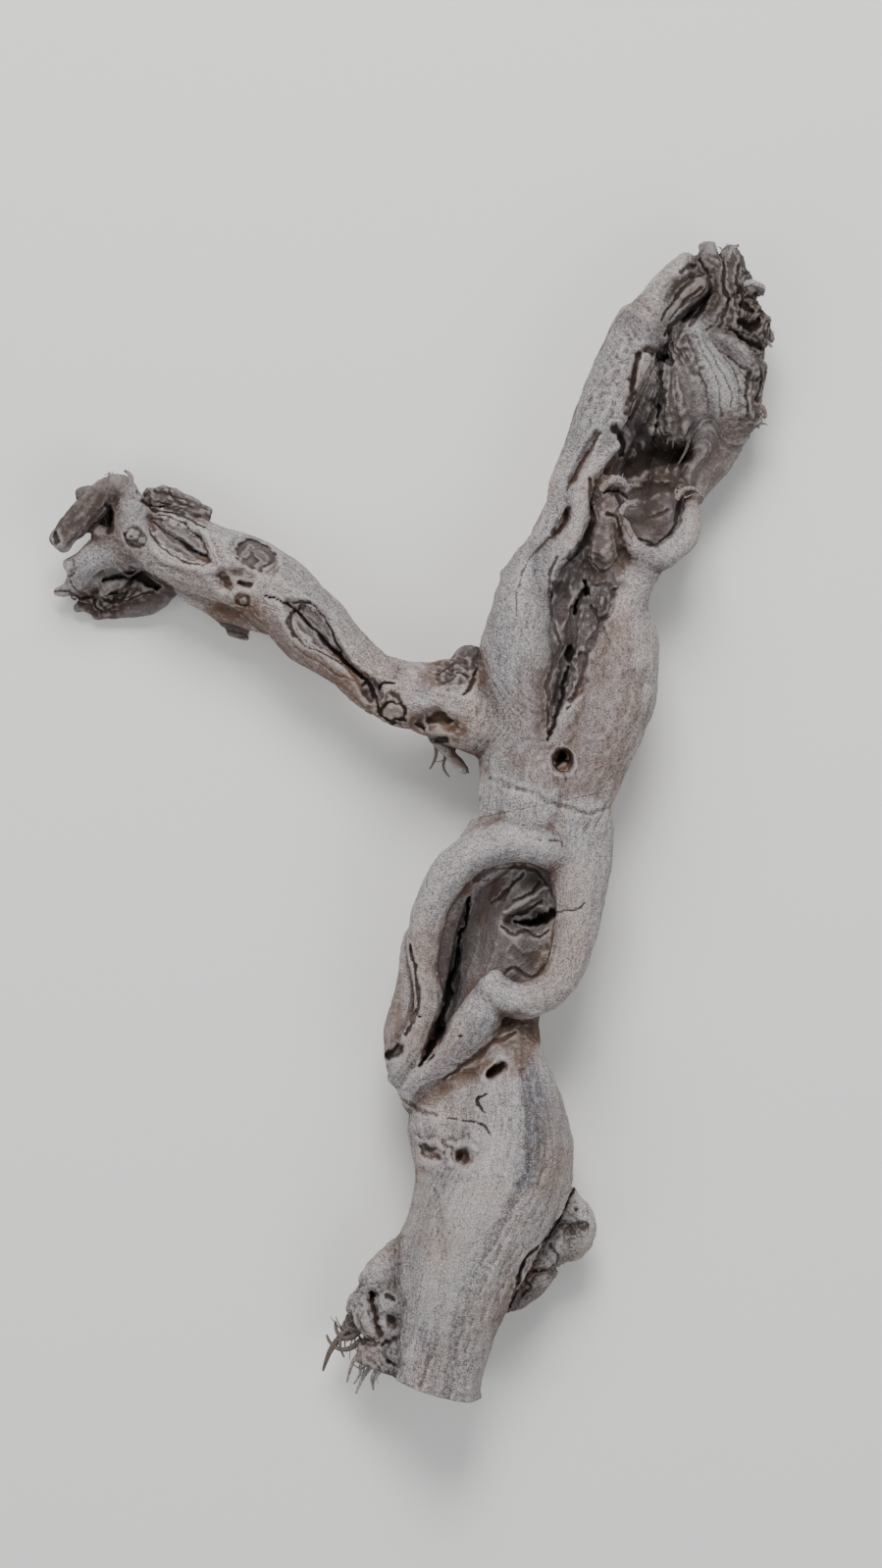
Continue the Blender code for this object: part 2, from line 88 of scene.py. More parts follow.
# The loop: two ropes close round a hollow, and fold over each other at its foot.
LOOP = {
    "loop_left": [
        (292, 438, 56, 10), (283, 434, 59, 10), (268, 429, 61, 11), (250, 431, 61, 11),
        (237, 438, 60, 10.5), (226.5, 449, 58, 10), (219, 465, 56, 9), (216, 480, 54, 8.3),
        (216, 495, 53, 6.8), (219, 510, 53, 6.8), (217, 521, 51, 7.4), (212, 531, 49, 8),
        (206, 541, 46, 7.5), (203, 552, 42, 7),
    ],
    "loop_left_keel": [
        (262, 428, 44, 14), (246, 436, 42, 14), (232, 450, 40, 13), (224, 466, 38, 12),
        (221, 484, 36, 11), (221, 502, 36, 10), (221, 520, 36, 11), (216, 538, 36, 13),
        (215, 552, 35, 14),
    ],
    "outer_rope": [
        (212, 474, 40, 4.5), (209.5, 484, 41, 5.5), (208.5, 500, 42, 6.3), (205.5, 513, 43, 6.6),
        (202, 525, 43, 6.4), (200.5, 535, 42, 5), (202, 545, 40, 6),
    ],
    "loop_right": [
        (292, 408, 48, 18), (296, 424, 52, 17), (296.5, 438, 55, 16), (295.5, 450, 57, 15),
        (294.5, 464, 57, 12.3), (291.5, 480, 56, 10.8), (287, 495, 56, 10), (277, 506, 56, 9.7),
        (264, 509, 57, 9.6), (254, 505, 57.5, 9.2), (248.5, 498.5, 57.5, 7.6),
    ],
    "loop_right_keel": [
        (287, 425, 38, 18), (289, 445, 38, 17), (287, 465, 37, 15), (283, 482, 36, 13),
        (276, 496, 36, 12), (266, 506, 36, 12), (262, 522, 36, 13), (262, 538, 37, 15),
    ],
    "fold_upper": [
        (250, 504, 54, 8), (247, 512, 54, 11), (242, 522, 53, 12.5), (235, 532, 51, 12.5),
        (226, 542, 49, 11.5), (216, 550, 46, 10.5), (207, 557, 42, 9),
    ],
    "fold_lower": [
        (262, 529, 48, 7), (255, 535, 51, 8), (245, 541, 51, 8), (232, 549, 49, 8.5),
        (218, 557, 46, 8.5), (208, 562, 41, 7.5),
    ],
    "loop_heart": [
        (270, 436, 32, 13), (268, 455, 33, 15), (262, 472, 34, 15.5), (257, 490, 34, 15),
        (249, 508, 33, 14), (240, 524, 32, 13), (230, 538, 32, 12),
    ],
    "loop_heart_right": [(276, 450, 32, 14), (274, 470, 33, 14), (270, 488, 33, 13)],
    "loop_heart_left": [
        (244, 450, 36, 8), (234, 466, 36, 9), (229, 484, 34, 10), (227, 504, 31, 10),
        (223, 526, 28, 11),
    ],
}
# What the blast has opened in the trunk. A stroke is a row of (across, down, half width), how far it
# is pushed down (a ridge has a negative depth), and how much shade is painted into its inside.
TRUNK_STROKES = {
    "slit": (
        [(239.5, 457, 0.3), (236, 472, 0.4), (233, 488, 0.6), (230, 503, 1), (226, 517, 2),
         (222, 530, 2.4), (214.5, 543, 0.8)],
        7, 0.6,
    ),
    "heart_hole": ([(262, 470, 1), (268, 471, 2.2), (275, 469, 2.6), (281.5, 466, 2.2)], 7, 0.85),
    "heart_wave": ([(250, 461, 0.6), (256, 457, 1), (262, 451, 1), (267, 445, 0.7)], 2, 0.35),
    "heart_ledge": ([(257, 465, 1), (266, 461, 1.4), (274, 455, 1.2), (279, 452, 1)], -1.8, 0.0),
    "heart_crack": ([(260, 467, 0.6), (268, 464, 0.8), (276, 459, 0.7)], 2.4, 0.55),
    "heart_crack_top": ([(262, 460, 0.5), (269, 456, 0.7), (275, 449, 0.6)], 2, 0.45),
    "heart_wave_low": (
        [(256, 472.5, 0.5), (262, 475.8, 0.8), (269, 475, 0.9), (275, 477.5, 0.7),
         (279, 474.5, 0.8)],
        2, 0.45,
    ),
    "heart_dent": ([(262, 485, 2.4), (270, 489, 3), (277, 484, 2)], 1.2, 0.1),
    "heart_wave_top": ([(246, 449, 0.8), (254, 447, 1.1), (262, 441, 0.9)], 1.2, 0.2),
    "heart_rim": (
        [(283, 460, 0.8), (278, 449, 1), (270, 443, 1), (254, 443, 1), (242, 449, 1)],
        1.5, 0.2,
    ),
    "heart_foot": (
        [(282, 482, 0.7), (279, 492, 0.9), (270, 497.5, 0.8), (262, 494, 0.7), (256, 496, 0.6)],
        1.2, 0.15,
    ),
    "outer_seam": ([(209.5, 482, 0.6), (211, 490, 0.8), (213, 513, 0.9), (207, 527.5, 1)], 3, 0.45),
    "outer_pocket": ([(197.5, 539, 2.2), (203, 535, 2.6)], 5, 0.5),
    "worm_hole": ([(214, 518, 0.8)], 2.5, 0.8),
    "worm_hole_low": ([(234, 527.5, 0.8)], 2.5, 0.8),
    "rope_crack": (
        [(283, 464.5, 0.6), (289, 464, 0.7), (292.5, 463, 0.5), (297.5, 460, 0.3)],
        1.6, 0.5,
    ),
    "top_crack": ([(274, 428.5, 0.4), (284.5, 428.5, 0.6), (286, 431, 0.5)], 1.4, 0.5),
    "fold_seam": ([(262, 526, 0.9), (250, 532, 1.2), (238, 541, 1.1), (226, 549, 0.9)], 1.6, 0.15),
    "fold_under": ([(206, 561, 1.2), (214, 566, 1.4), (223, 567.5, 1)], 1.2, 0.03),
    "neck_hole": (
        [(249, 548, 0.6), (250.6, 545.6, 1.5), (253, 544.6, 2.1), (255.8, 541.6, 1.2)],
        5, 0.3,
    ),
    "branch_crack": (
        [(248, 556, 0.5), (242.8, 559, 1), (244.2, 562.8, 0.8), (248, 566.6, 0.3)],
        2, 0.65, 0.5,
    ),
    "long_crack": (
        [(228, 568.6, 0.4), (236, 570.2, 0.5), (242.3, 570.4, 0.6), (247, 572.3, 0.7),
         (250, 578.5, 0.3)],
        1.4, 0.6, 0.5,
    ),
    "left_knot": ([(215.5, 583, 1.6), (218, 587.5, 2.4), (223, 589, 2.2)], 3.6, 0.2),
    "left_knot_pit": ([(216, 581.5, 0.9), (219, 585, 1), (222.5, 584, 0.8)], 1.6, 0.5),
    "right_knot": ([(236.5, 588.5, 3.4)], 4, 0.35),
    "knot_brow": ([(229, 581, 1.4), (233, 583, 1.6), (238, 580.5, 1.8), (243, 584, 1.6)], -2.2, 0.0),
    "knot_brow_left": (
        [(213, 580, 1.4), (217, 582, 1.6), (222, 580.5, 1.8), (226, 584, 1.4)],
        -2.0, 0.0,
    ),
    "knot_wall": ([(229, 585, 1.4), (229.5, 592, 1.6)], -2.0, 0.0),
    "knot_foot": ([(213, 592, 2), (225, 595, 2.4), (238, 596, 2.2)], -1, 0.0),
    "burr_slot": ([(190, 659, 1.2), (191, 670, 2), (193.5, 680, 1.4)], 4, 0.45),
    "burr_hole": ([(199.5, 673, 3)], 3.4, 0.3),
    "burr_pit": ([(198, 660.5, 1.4), (201, 662, 0.8)], 2.4, 0.55),
    "burr_pit_low": ([(196.5, 684, 1.6), (195, 686, 0.9)], 2.4, 0.5),
    "burr_pit_foot": ([(198, 694, 1.4)], 2.4, 0.5),
    "burr_ring": ([(201, 682, 1), (196, 690, 1.2), (201, 696, 1)], 1.6, 0.3),
    "burl_seam": (
        [(294, 606, 0.6), (287.5, 617.5, 0.8), (281, 627.5, 1), (274, 635, 1.1), (267, 640, 1),
         (263.5, 652, 1), (260, 668, 0.6)],
        4, 0.6,
    ),
    "burl_recess": ([(291, 628.5, 2), (296, 627.5, 2.6)], 1.6, 0.1, 0.8),
    "burl_rim": (
        [(288.4, 633.1, 0.6), (289.4, 626.5, 0.5), (298.9, 624.5, 0.6), (298.5, 631, 0.5),
         (288.4, 633.1, 0.6)],
        1, 0.5, 0.5,
    ),
    "burl_fold": ([(280, 636, 0.6), (285, 641, 0.8), (281, 647, 0.7), (272, 650, 0.6)], 1.6, 0.45),
    "burl_fold_low": ([(267, 652, 0.6), (271, 658, 0.8), (266, 663, 0.6)], 1.6, 0.5),
    "burl_pit": ([(293.5, 618, 1.1)], 1.8, 0.6),
    "butt_groove": ([(222, 606, 1.5), (226, 640, 2.2), (221, 680, 2), (214, 705, 1.2)], 0.9, 0.1),
    "butt_rib": (
        [(275, 560, 3), (282, 590, 4), (272, 615, 4), (256, 640, 4), (245, 670, 4), (238, 705, 4)],
        -1, 0.0,
    ),
    "butt_valley": (
        [(266, 545, 2), (271, 575, 3.4), (268, 598, 3.4), (254, 622, 3), (240, 648, 3),
         (232, 680, 3), (227, 712, 3)],
        1.0, 0.0,
    ),
    "butt_edge": ([(258, 640, 2), (252, 665, 2), (247, 690, 2), (244, 710, 2)], 0.9, 0.1),
}

# The upper limb: two lobes with a channel of dead wood between them, then a shell of live wood round
# a rotten hollow. Its head is torn and fluted, with a hook of live wood on the right.

# The middle: a collar, then two lobes with a channel of dead wood between them.
MIDDLE = {
    "collar": [(267, 421, 45, 23.5), (271, 406, 45, 26), (268, 392, 45, 24)],
    "collar_right": [(290, 424, 44, 21), (289, 408, 45, 21), (292, 392, 45, 22)],
    "waist_left": [(264, 392, 47, 19), (257, 408, 49, 15), (250, 422, 53, 11.5), (240, 433, 57, 9)],
    "waist_right": [(294, 398, 48, 17), (293, 414, 51, 18), (288, 428, 54, 14)],
    "lobe_left": [
        (272, 404, 45, 22), (266, 388, 46, 22), (262, 368, 46, 19.5), (261.5, 350, 46, 18),
        (263, 332, 46, 18.5), (264.5, 316, 47, 16.5), (267, 300, 48, 13.5), (272, 288, 49, 9.5),
    ],
    "lobe_right": [
        (291, 406, 45, 21), (298, 392, 45, 20), (307, 376, 45, 19.5), (314, 358, 45, 19.5),
        (317.5, 340, 45, 18.5), (319, 325, 44, 16.5), (318, 311, 43, 13.5),
        (322, 299, 43, 10.5), (329, 289, 44, 9),
    ],
    "channel_heart": [
        (304, 288, 34, 11), (296, 303, 34, 12), (292, 320, 33, 12), (290, 337, 33, 12),
        (287, 354, 33, 12), (283, 370, 36, 12),
    ],
    "channel_knot": [(303, 300, 44, 7), (307, 307, 46, 7.5), (306, 315, 44, 5)],
}
# Live wood down the limb's left side, a hook on its right, and rotten wood in its hollow.
LIMB = {
    "limb_left": [
        (352, 131, 40, 4), (346, 138, 42, 7), (336.5, 153, 45, 10), (326, 169, 48, 12.5),
        (317.5, 186, 50, 14), (310, 203, 51, 14), (303, 219, 51, 12.5), (295, 233, 50, 9.5),
        (288, 246, 49, 8), (284.5, 258, 48, 7), (280, 270, 47, 7.5), (272, 284, 46, 9),
        (265, 298, 45, 12),
    ],
    "limb_left_keel": [
        (330, 160, 32, 15), (320, 190, 30, 18), (310, 212, 30, 17), (302, 235, 30, 16),
        (296, 256, 30, 16), (289, 276, 29, 19), (284, 296, 28, 22),
    ],
    "limb_back": [
        (358, 138, 24, 14), (354, 158, 19, 18.5), (352, 180, 17, 19), (350, 203, 16, 18),
        (343, 225, 14, 14), (336, 245, 14, 13), (328, 264, 19, 16), (316, 284, 24, 20),
        (306, 300, 27, 22),
    ],
    "limb_right": [
        (376, 156, 28, 13), (377, 176, 27, 14), (375, 196, 27, 15), (372, 212, 27, 14),
        (365, 229, 27, 12), (357, 243, 30, 9.5), (353, 254, 35, 6),
    ],
    "inner_rope": [
        (314, 226, 52, 4), (308, 231, 53, 5), (302, 239, 54, 5.5), (297, 248, 54, 5.5),
        (295, 257, 54, 5.3), (295, 266, 53, 5.3), (291, 274, 53, 6), (285, 281, 52, 7),
        (278, 289, 51, 8), (272, 300, 50, 9),
    ],
    "hook": [
        (352, 256, 41, 4), (352.5, 263, 43, 5.5), (350, 272, 45, 6.5), (343, 280, 46, 6.8),
        (334, 284.5, 47, 6.5), (326, 282, 47, 5.2), (320.5, 275, 47, 4), (317.5, 265, 47, 3),
    ],
    "lip": [(306, 251, 46, 6), (309, 262, 45, 8), (309, 275, 43, 8.5), (304, 288, 41, 9)],
    "lip_fin": [(302, 250, 50, 2.4), (308, 246, 52, 3), (314, 245.5, 52, 3), (319, 247, 51, 2)],
    "pocket": [
        (342, 228, 14, 11), (345, 243, 18, 12), (341, 259, 23, 13), (335, 271, 27, 12),
        (325, 284, 32, 11),
    ],
    "limb_floor": [(326, 212, 17, 12), (323, 230, 18, 12), (321, 248, 21, 12), (322, 264, 25, 12)],
    "cavity_stub": [
        (331, 182, 41, 4.5), (331.5, 191, 44, 6.5), (328, 201, 43, 6.5), (324, 213, 38, 5.5),
    ],
    "cavity_mass": [(340, 186, 40, 6), (343, 198, 41, 9), (346, 210, 40, 9.5), (347, 221, 35, 7)],
    "cavity_web": [(335, 186, 34, 7), (336, 202, 34, 9), (335, 218, 31, 8)],
    "cavity_sweep": [
        (353, 165, 42, 8.5), (360, 180, 38, 12), (366, 195, 36, 13), (369, 209, 34, 12),
        (370, 219, 31, 9),
    ],
    "fan_left": [(346, 168, 42, 7), (350, 181, 40, 9), (354, 196, 38, 10.5), (357, 212, 35, 10)],
    "fan_right": [(362, 171, 40, 7), (372, 183, 36, 9.5), (377, 196, 34, 11), (379, 210, 32, 9.5)],
    "limb_wall": [(361, 216, 36, 8), (359, 228, 34, 7), (354, 240, 34, 5.5), (348, 251, 37, 4.5)],
    "cavity_brow": [
        (325, 163, 49, 6), (330, 167, 51, 5.2), (335, 170.5, 51, 4.2), (338, 175, 48, 3),
    ],
    "cavity_clump": [
        (347, 171, 47, 4), (351, 179, 46, 4.2), (354, 187, 44.5, 4), (357, 196, 42, 3),
    ],
}
# The head of the limb, torn and fluted.
HEAD = {
    "head_spur": [(361, 143, 48, 3.5), (354, 148, 49, 6), (346, 155, 49, 7), (338, 165, 47, 6.5)],
    "head_notch": [(355.5, 131, 36, 4), (356, 140, 38, 6), (352, 156, 38, 8)],
    "head_knob": [
        (361, 123.5, 38, 4.5), (362, 133, 40, 5.5), (367, 145, 42, 6), (368, 155, 42, 6),
        (360, 168, 41, 6.5),
    ],
    "head_flute": [
        (372, 124.5, 34, 4), (375, 136, 37, 5.5), (373, 147, 39, 6), (376, 158, 39, 6),
        (369, 170, 40, 7),
    ],
    "head_crest": [(376, 130, 32, 4.5), (378, 144, 34, 6), (380, 158, 35, 7)],
    "head_web": [(364, 132, 33, 7.5), (366, 146, 34, 11), (364, 160, 35, 12), (358, 170, 35, 10)],
    "head_ledge": [(374, 146, 35, 4), (382, 145.5, 36, 3.8), (389.5, 147, 35, 3.2)],
    "head_char": [(374, 150, 36, 7), (382, 160, 36, 7), (387, 168, 35, 6.5), (385, 175, 35, 5)],
    "head_thorn": [(384, 166, 37, 4.5), (390, 168, 36, 4), (392, 174, 35, 3)],
    "head_ridge": [(365, 170, 46, 3), (371, 174, 46, 3.5), (378, 180, 43, 4.5), (384, 190, 38, 5)],
    "head_edge": [(388, 184, 34, 4), (385, 196, 34, 6), (383, 208, 33, 6), (386, 216, 33, 4)],
}
# Cracks, rings and torn folds in the upper limb.
LIMB_STROKES = {
    "waist_crease": (
        [(249, 397, 1), (262.5, 401.5, 1.4), (275, 406, 1.6), (287.5, 411, 1.6), (300, 414, 1.4),
         (310, 412, 1)],
        0.9, 0.05,
    ),
    "knot_ring": (
        [(286, 381, 1.4), (292, 386, 1.4), (293, 392, 1.4), (287, 396, 1.4), (281, 392, 1.4),
         (281, 386, 1.4), (286, 381, 1.4)],
        -0.9, 0.0,
    ),
    "knot_bore": ([(286, 385.5, 2.6), (286.5, 389.5, 4)], 6, 0.6),
    "knot_plug": ([(286.9, 390.6, 2.7)], -4.6, -0.8, 1.2),
    "knot_crack": ([(287, 395, 0.7), (288, 401, 0.4)], 1.2, 0.5),
    "channel_top": ([(298.5, 297, 1.2), (300, 303, 1.2)], 6, 0.8),
    "channel_slot": ([(294, 306, 0.9), (292.5, 312, 1)], 5, 0.75),
    "channel_hole": ([(290, 331, 1.6), (290.5, 336, 2.1)], 5, 0.8),
    "channel_crack": (
        [(289.5, 340, 0.7), (287, 352, 0.9), (284, 362, 1.1), (281, 372, 1), (279, 378, 0.6)],
        4, 0.7,
    ),
    "channel_left": (
        [(283, 284, 0.8), (280, 300, 1), (282, 318, 0.9), (286, 330, 0.7), (280, 344, 0.9),
         (279, 360, 0.9), (279.5, 375, 0.6)],
        2, 0.25,
    ),
    "channel_right": (
        [(313, 300, 0.8), (310, 312, 0.9), (303, 322, 0.9), (298, 336, 0.8), (297, 346, 0.8),
         (289, 362, 0.7)],
        2, 0.2,
    ),
    "channel_dish": ([(286, 300, 3.6), (286, 314, 3.2)], 3, 0.2),
    "channel_bowl_right": ([(296, 334, 2), (297, 348, 2), (290, 358, 1.5)], 3, 0.25),
    "knot_swirl": (
        [(303, 298, 0.8), (311, 299, 0.9), (313, 309, 0.9), (306, 317, 0.9), (301, 309, 0.8)],
        1.6, 0.25,
    ),
    "knot_swirl_inner": ([(305, 303, 0.5), (309, 304, 0.5), (308, 311, 0.5)], 1, 0.3),
    "lobe_line": (
        [(282.5, 272.5, 0.5), (272.5, 282.5, 0.6), (267.5, 290, 0.5), (264, 300, 0.5),
         (263.5, 314, 0.4)],
        1, 0.35,
    ),
    "rope_groove": ([(306, 222, 0.6), (299, 232, 1), (294, 241, 1.1), (289, 250, 0.7)], 2, 0.12),
    "dished_knot": ([(288, 259, 0.6), (288, 266, 1.4), (284, 272, 1.4), (281, 275, 0.6)], 2, 0.15),
    "dished_knot_inner": ([(286, 264, 1.4), (284, 269, 1.4)], -1.5, 0.0),
    "rope_flake_seam": (
        [(300, 246, 1), (300, 256, 1.2), (302, 266, 1.2), (298, 276, 1.2), (290, 285, 1)],
        2.2, 0.28,
    ),
    "curl": ([(313, 219, 1.6), (317.5, 225, 2), (318, 231, 1.2)], 4, 0.6),
    "curl_lip": ([(311, 216, 1.2), (316, 217, 1.4), (321, 222, 1.2)], -2, 0.0),
    "flake_edge": ([(308, 252, 0.8), (314, 250, 1), (320, 253, 1)], 2, 0.6),
    "flake_edge_low": ([(309, 262, 0.8), (314, 264, 0.9), (316, 273, 0.9)], 2, 0.6),
    "flake_ridge": ([(314, 263, 1.2), (316, 270, 1.5), (320, 277, 1.2)], -2, 0.0),
    "cup_dark": ([(322, 252, 2.6), (330, 250, 3.6), (340, 248, 3)], 2.5, 0.3),
    "cup_crack": ([(330, 264, 0.6), (336, 262, 0.8), (341, 259, 0.6)], 1, 0.35),
    "deep_left": ([(321, 240, 3), (328, 233, 5)], 3, 0.45),
    "deep_right": ([(325, 236, 4), (335, 232, 6), (345, 231.5, 6), (351, 232, 3)], 2.6, 0.5),
    "void_top": ([(328, 179, 1), (333, 180, 1.8), (338, 182, 1.8), (343, 185, 1)], 4, 0.12),
    "void_left": ([(326, 181, 1.2), (323, 190, 1.8), (321.5, 200, 2), (319, 212, 1.6)], 5, 0.25),
    "void_middle": ([(337, 190, 0.7), (337.5, 198, 0.9), (336, 210, 1), (334, 222, 0.8)], 3.2, 0.28),
    "lip_edge": ([(321, 205, 0.7), (322.5, 192, 0.8), (324, 181, 0.7)], 1.4, 0.15),
    "spur_under": ([(338, 172, 1), (345, 164, 1.2), (354, 157, 1.2), (361, 151, 1)], 2.4, 0.45),
    "spur_over": ([(336, 164, 0.7), (345, 151, 0.9), (354, 143, 0.9), (359, 140, 0.7)], 1.8, 0.3),
    "spur_grain": ([(341, 164, 0.6), (349, 154, 0.7), (357, 148, 0.6)], 1.2, 0.4),
    "head_hole": ([(346, 139, 1), (350, 136.5, 1.4), (354, 136, 1)], 2, 0.45),
    "head_slot": (
        [(357, 133, 0.8), (361.5, 141, 0.9), (361, 150, 1.1), (357.5, 158, 1), (352, 166, 0.9)],
        2.6, 0.35,
    ),
    "head_slot_right": (
        [(367, 128, 0.8), (369, 137, 0.9), (368, 146, 1), (371.5, 155, 1.1), (366, 166, 1)],
        2.6, 0.35,
    ),
    "head_slot_far": ([(378, 134, 0.7), (375, 143, 0.9), (378, 151, 0.9), (376, 160, 0.8)], 2, 0.35),
    "char_pit": ([(379, 156, 2.2), (384, 158, 1.7)], 3.6, 0.6),
    "char_pit_low": ([(377, 164, 1.6), (384, 166, 1.8), (388, 162, 1.2)], 4, 0.6),
    "char_pit_edge": ([(388, 154, 1.6), (391, 158, 1.4)], 3, 0.7),
    "char_under": ([(372, 168, 1), (380, 173, 1.3), (388, 176, 1.2)], 3, 0.6),
    "fold_s": ([(360, 168, 0.7), (366, 162, 0.8), (372, 152, 0.8)], 1.5, 0.3),
    "fold_s_low": ([(364, 176, 0.7), (372, 182, 0.8), (380, 188, 0.8)], 1.2, 0.2),
    "edge_split": ([(382, 190, 0.7), (380, 200, 0.9), (381, 210, 0.7)], 2, 0.4),
    "edge_split_right": ([(388, 188, 0.6), (388, 196, 0.8), (386, 204, 0.6)], 2, 0.4),
    "fan_line": ([(350, 172, 0.5), (355, 184, 0.6), (359, 198, 0.6), (361, 210, 0.5)], 0.9, 0.3),
    "fan_line_right": (
        [(358, 174, 0.5), (366, 187, 0.6), (372, 198, 0.6), (373, 208, 0.5)],
        0.9, 0.3,
    ),
    "fan_line_middle": (
        [(354, 170, 0.4), (360, 184, 0.6), (366, 196, 0.6), (368, 212, 0.5)],
        0.9, 0.25,
    ),
    "fan_line_edge": ([(366, 178, 0.4), (373, 188, 0.6), (378, 200, 0.5)], 0.9, 0.25),
    "hook_seam": (
        [(347, 252, 0.9), (346, 262, 1.1), (343, 271, 1), (334, 278, 0.9), (326, 275, 0.9)],
        2, 0.35,
    ),
}

# The side arm: thin and knotty. Buds, pruned canes and spurs have left rings, holes and lens-shaped
# inserts of dead wood in it, and its tip ends in a cut cane and a worn spur.

# The arm, thick with spurs, and the knuckle and stubs at its tip.
ARM = {
    "arm": [
        (268, 378, 44, 19), (255, 370, 44, 20), (240, 364, 44, 20), (217, 356, 44, 18.5),
        (199, 353, 43, 15), (180, 338, 42, 14.6), (162, 323, 40, 18.5), (144, 305, 38, 19.5),
        (125, 292, 36, 19.5), (106, 286, 34, 19.5), (88, 279, 32, 18.5), (71, 272, 30, 16),
        (62, 266, 29, 12),
    ],
    "arm_top": [(246, 350, 42, 14), (228, 350, 42, 13), (210, 349, 42, 11), (196, 344, 42, 10)],
    "arm_belly": [(140, 312, 30, 12), (124, 309, 28, 10), (108, 304, 26, 10), (92, 294, 24, 9)],
    "arm_strip": [
        (73, 251.5, 24, 3.6), (82, 252, 25, 5.2), (93, 255.5, 26, 5.8), (105, 263, 27, 6),
    ],
    "arm_peg": [(110, 311, 22, 4.5), (118, 316, 20, 4.6), (126, 318, 19, 3.6)],
    "arm_peg_tip": [(116, 317, 19, 3.4), (121, 322.5, 18, 2.8), (126, 325, 18, 2)],
    "arm_tendril": [(222, 374, 34, 5), (228, 383, 34, 3.4), (238, 393.5, 33, 2.6)],
    "arm_crumb": [(243, 341, 36, 8), (240, 334, 34, 5.5), (233, 339, 36, 5), (225, 343, 38, 5)],
    "knuckle": [(60, 243, 34, 3.5), (63, 250, 35, 6.5), (66, 260, 35, 9.5), (69, 272, 33, 13)],
    "cane_stub": [
        (60, 246, 36, 6), (54, 250, 37, 7.3), (44, 260, 38, 7.4), (35, 269, 39, 7.2),
        (29, 277, 40, 6.6),
    ],
    "back_stub": [(46, 250, 28, 4), (38, 251, 25, 4)],
    "thin_stub": [(53, 273, 34, 3.5), (46, 268, 35, 2.8)],
    "knuckle_floor": [(60, 254, 25, 6), (54, 264, 23, 6), (50, 276, 22, 7)],
    "spur_upper": [
        (68, 281, 27, 12), (59, 279.5, 29.5, 9.5), (51, 281, 30.5, 8.4), (44.5, 285, 29.5, 7.6),
        (40, 291, 25, 6.6), (35.5, 297, 18, 5), (30, 300, 13, 3.6), (24.5, 301, 10.5, 2.2),
    ],
    "spur_stub": [(44, 284, 30, 5), (37.5, 286.5, 30, 4.3), (33, 288.5, 30, 3.8)],
    "spur_tip": [(46, 290, 20, 7), (40, 297, 14, 5.5), (34, 301, 10, 3.5)],
    "spur_lower": [
        (84, 291, 20, 9.5), (72, 297.5, 15, 7.8), (60, 302, 11, 7), (49, 305, 8.5, 5.6),
        (40, 307, 7, 4.2), (34.5, 308.5, 6, 2.6),
    ],
    "spur_rib": [
        (86, 296, 13, 8), (74, 304.5, 9, 7.2), (62, 309, 7.5, 5.6), (51, 311, 6, 3.6),
        (45, 313, 5, 2),
    ],
    "spur_jag": [(56, 304, 10, 5), (46, 303, 11, 3.6), (39, 303.5, 10, 2.4)],
    "spur_ring": [(61, 296.5, 17, 6), (55, 298, 18.5, 4.5), (51.5, 302, 17, 3.4), (54, 306, 14, 3)],
}
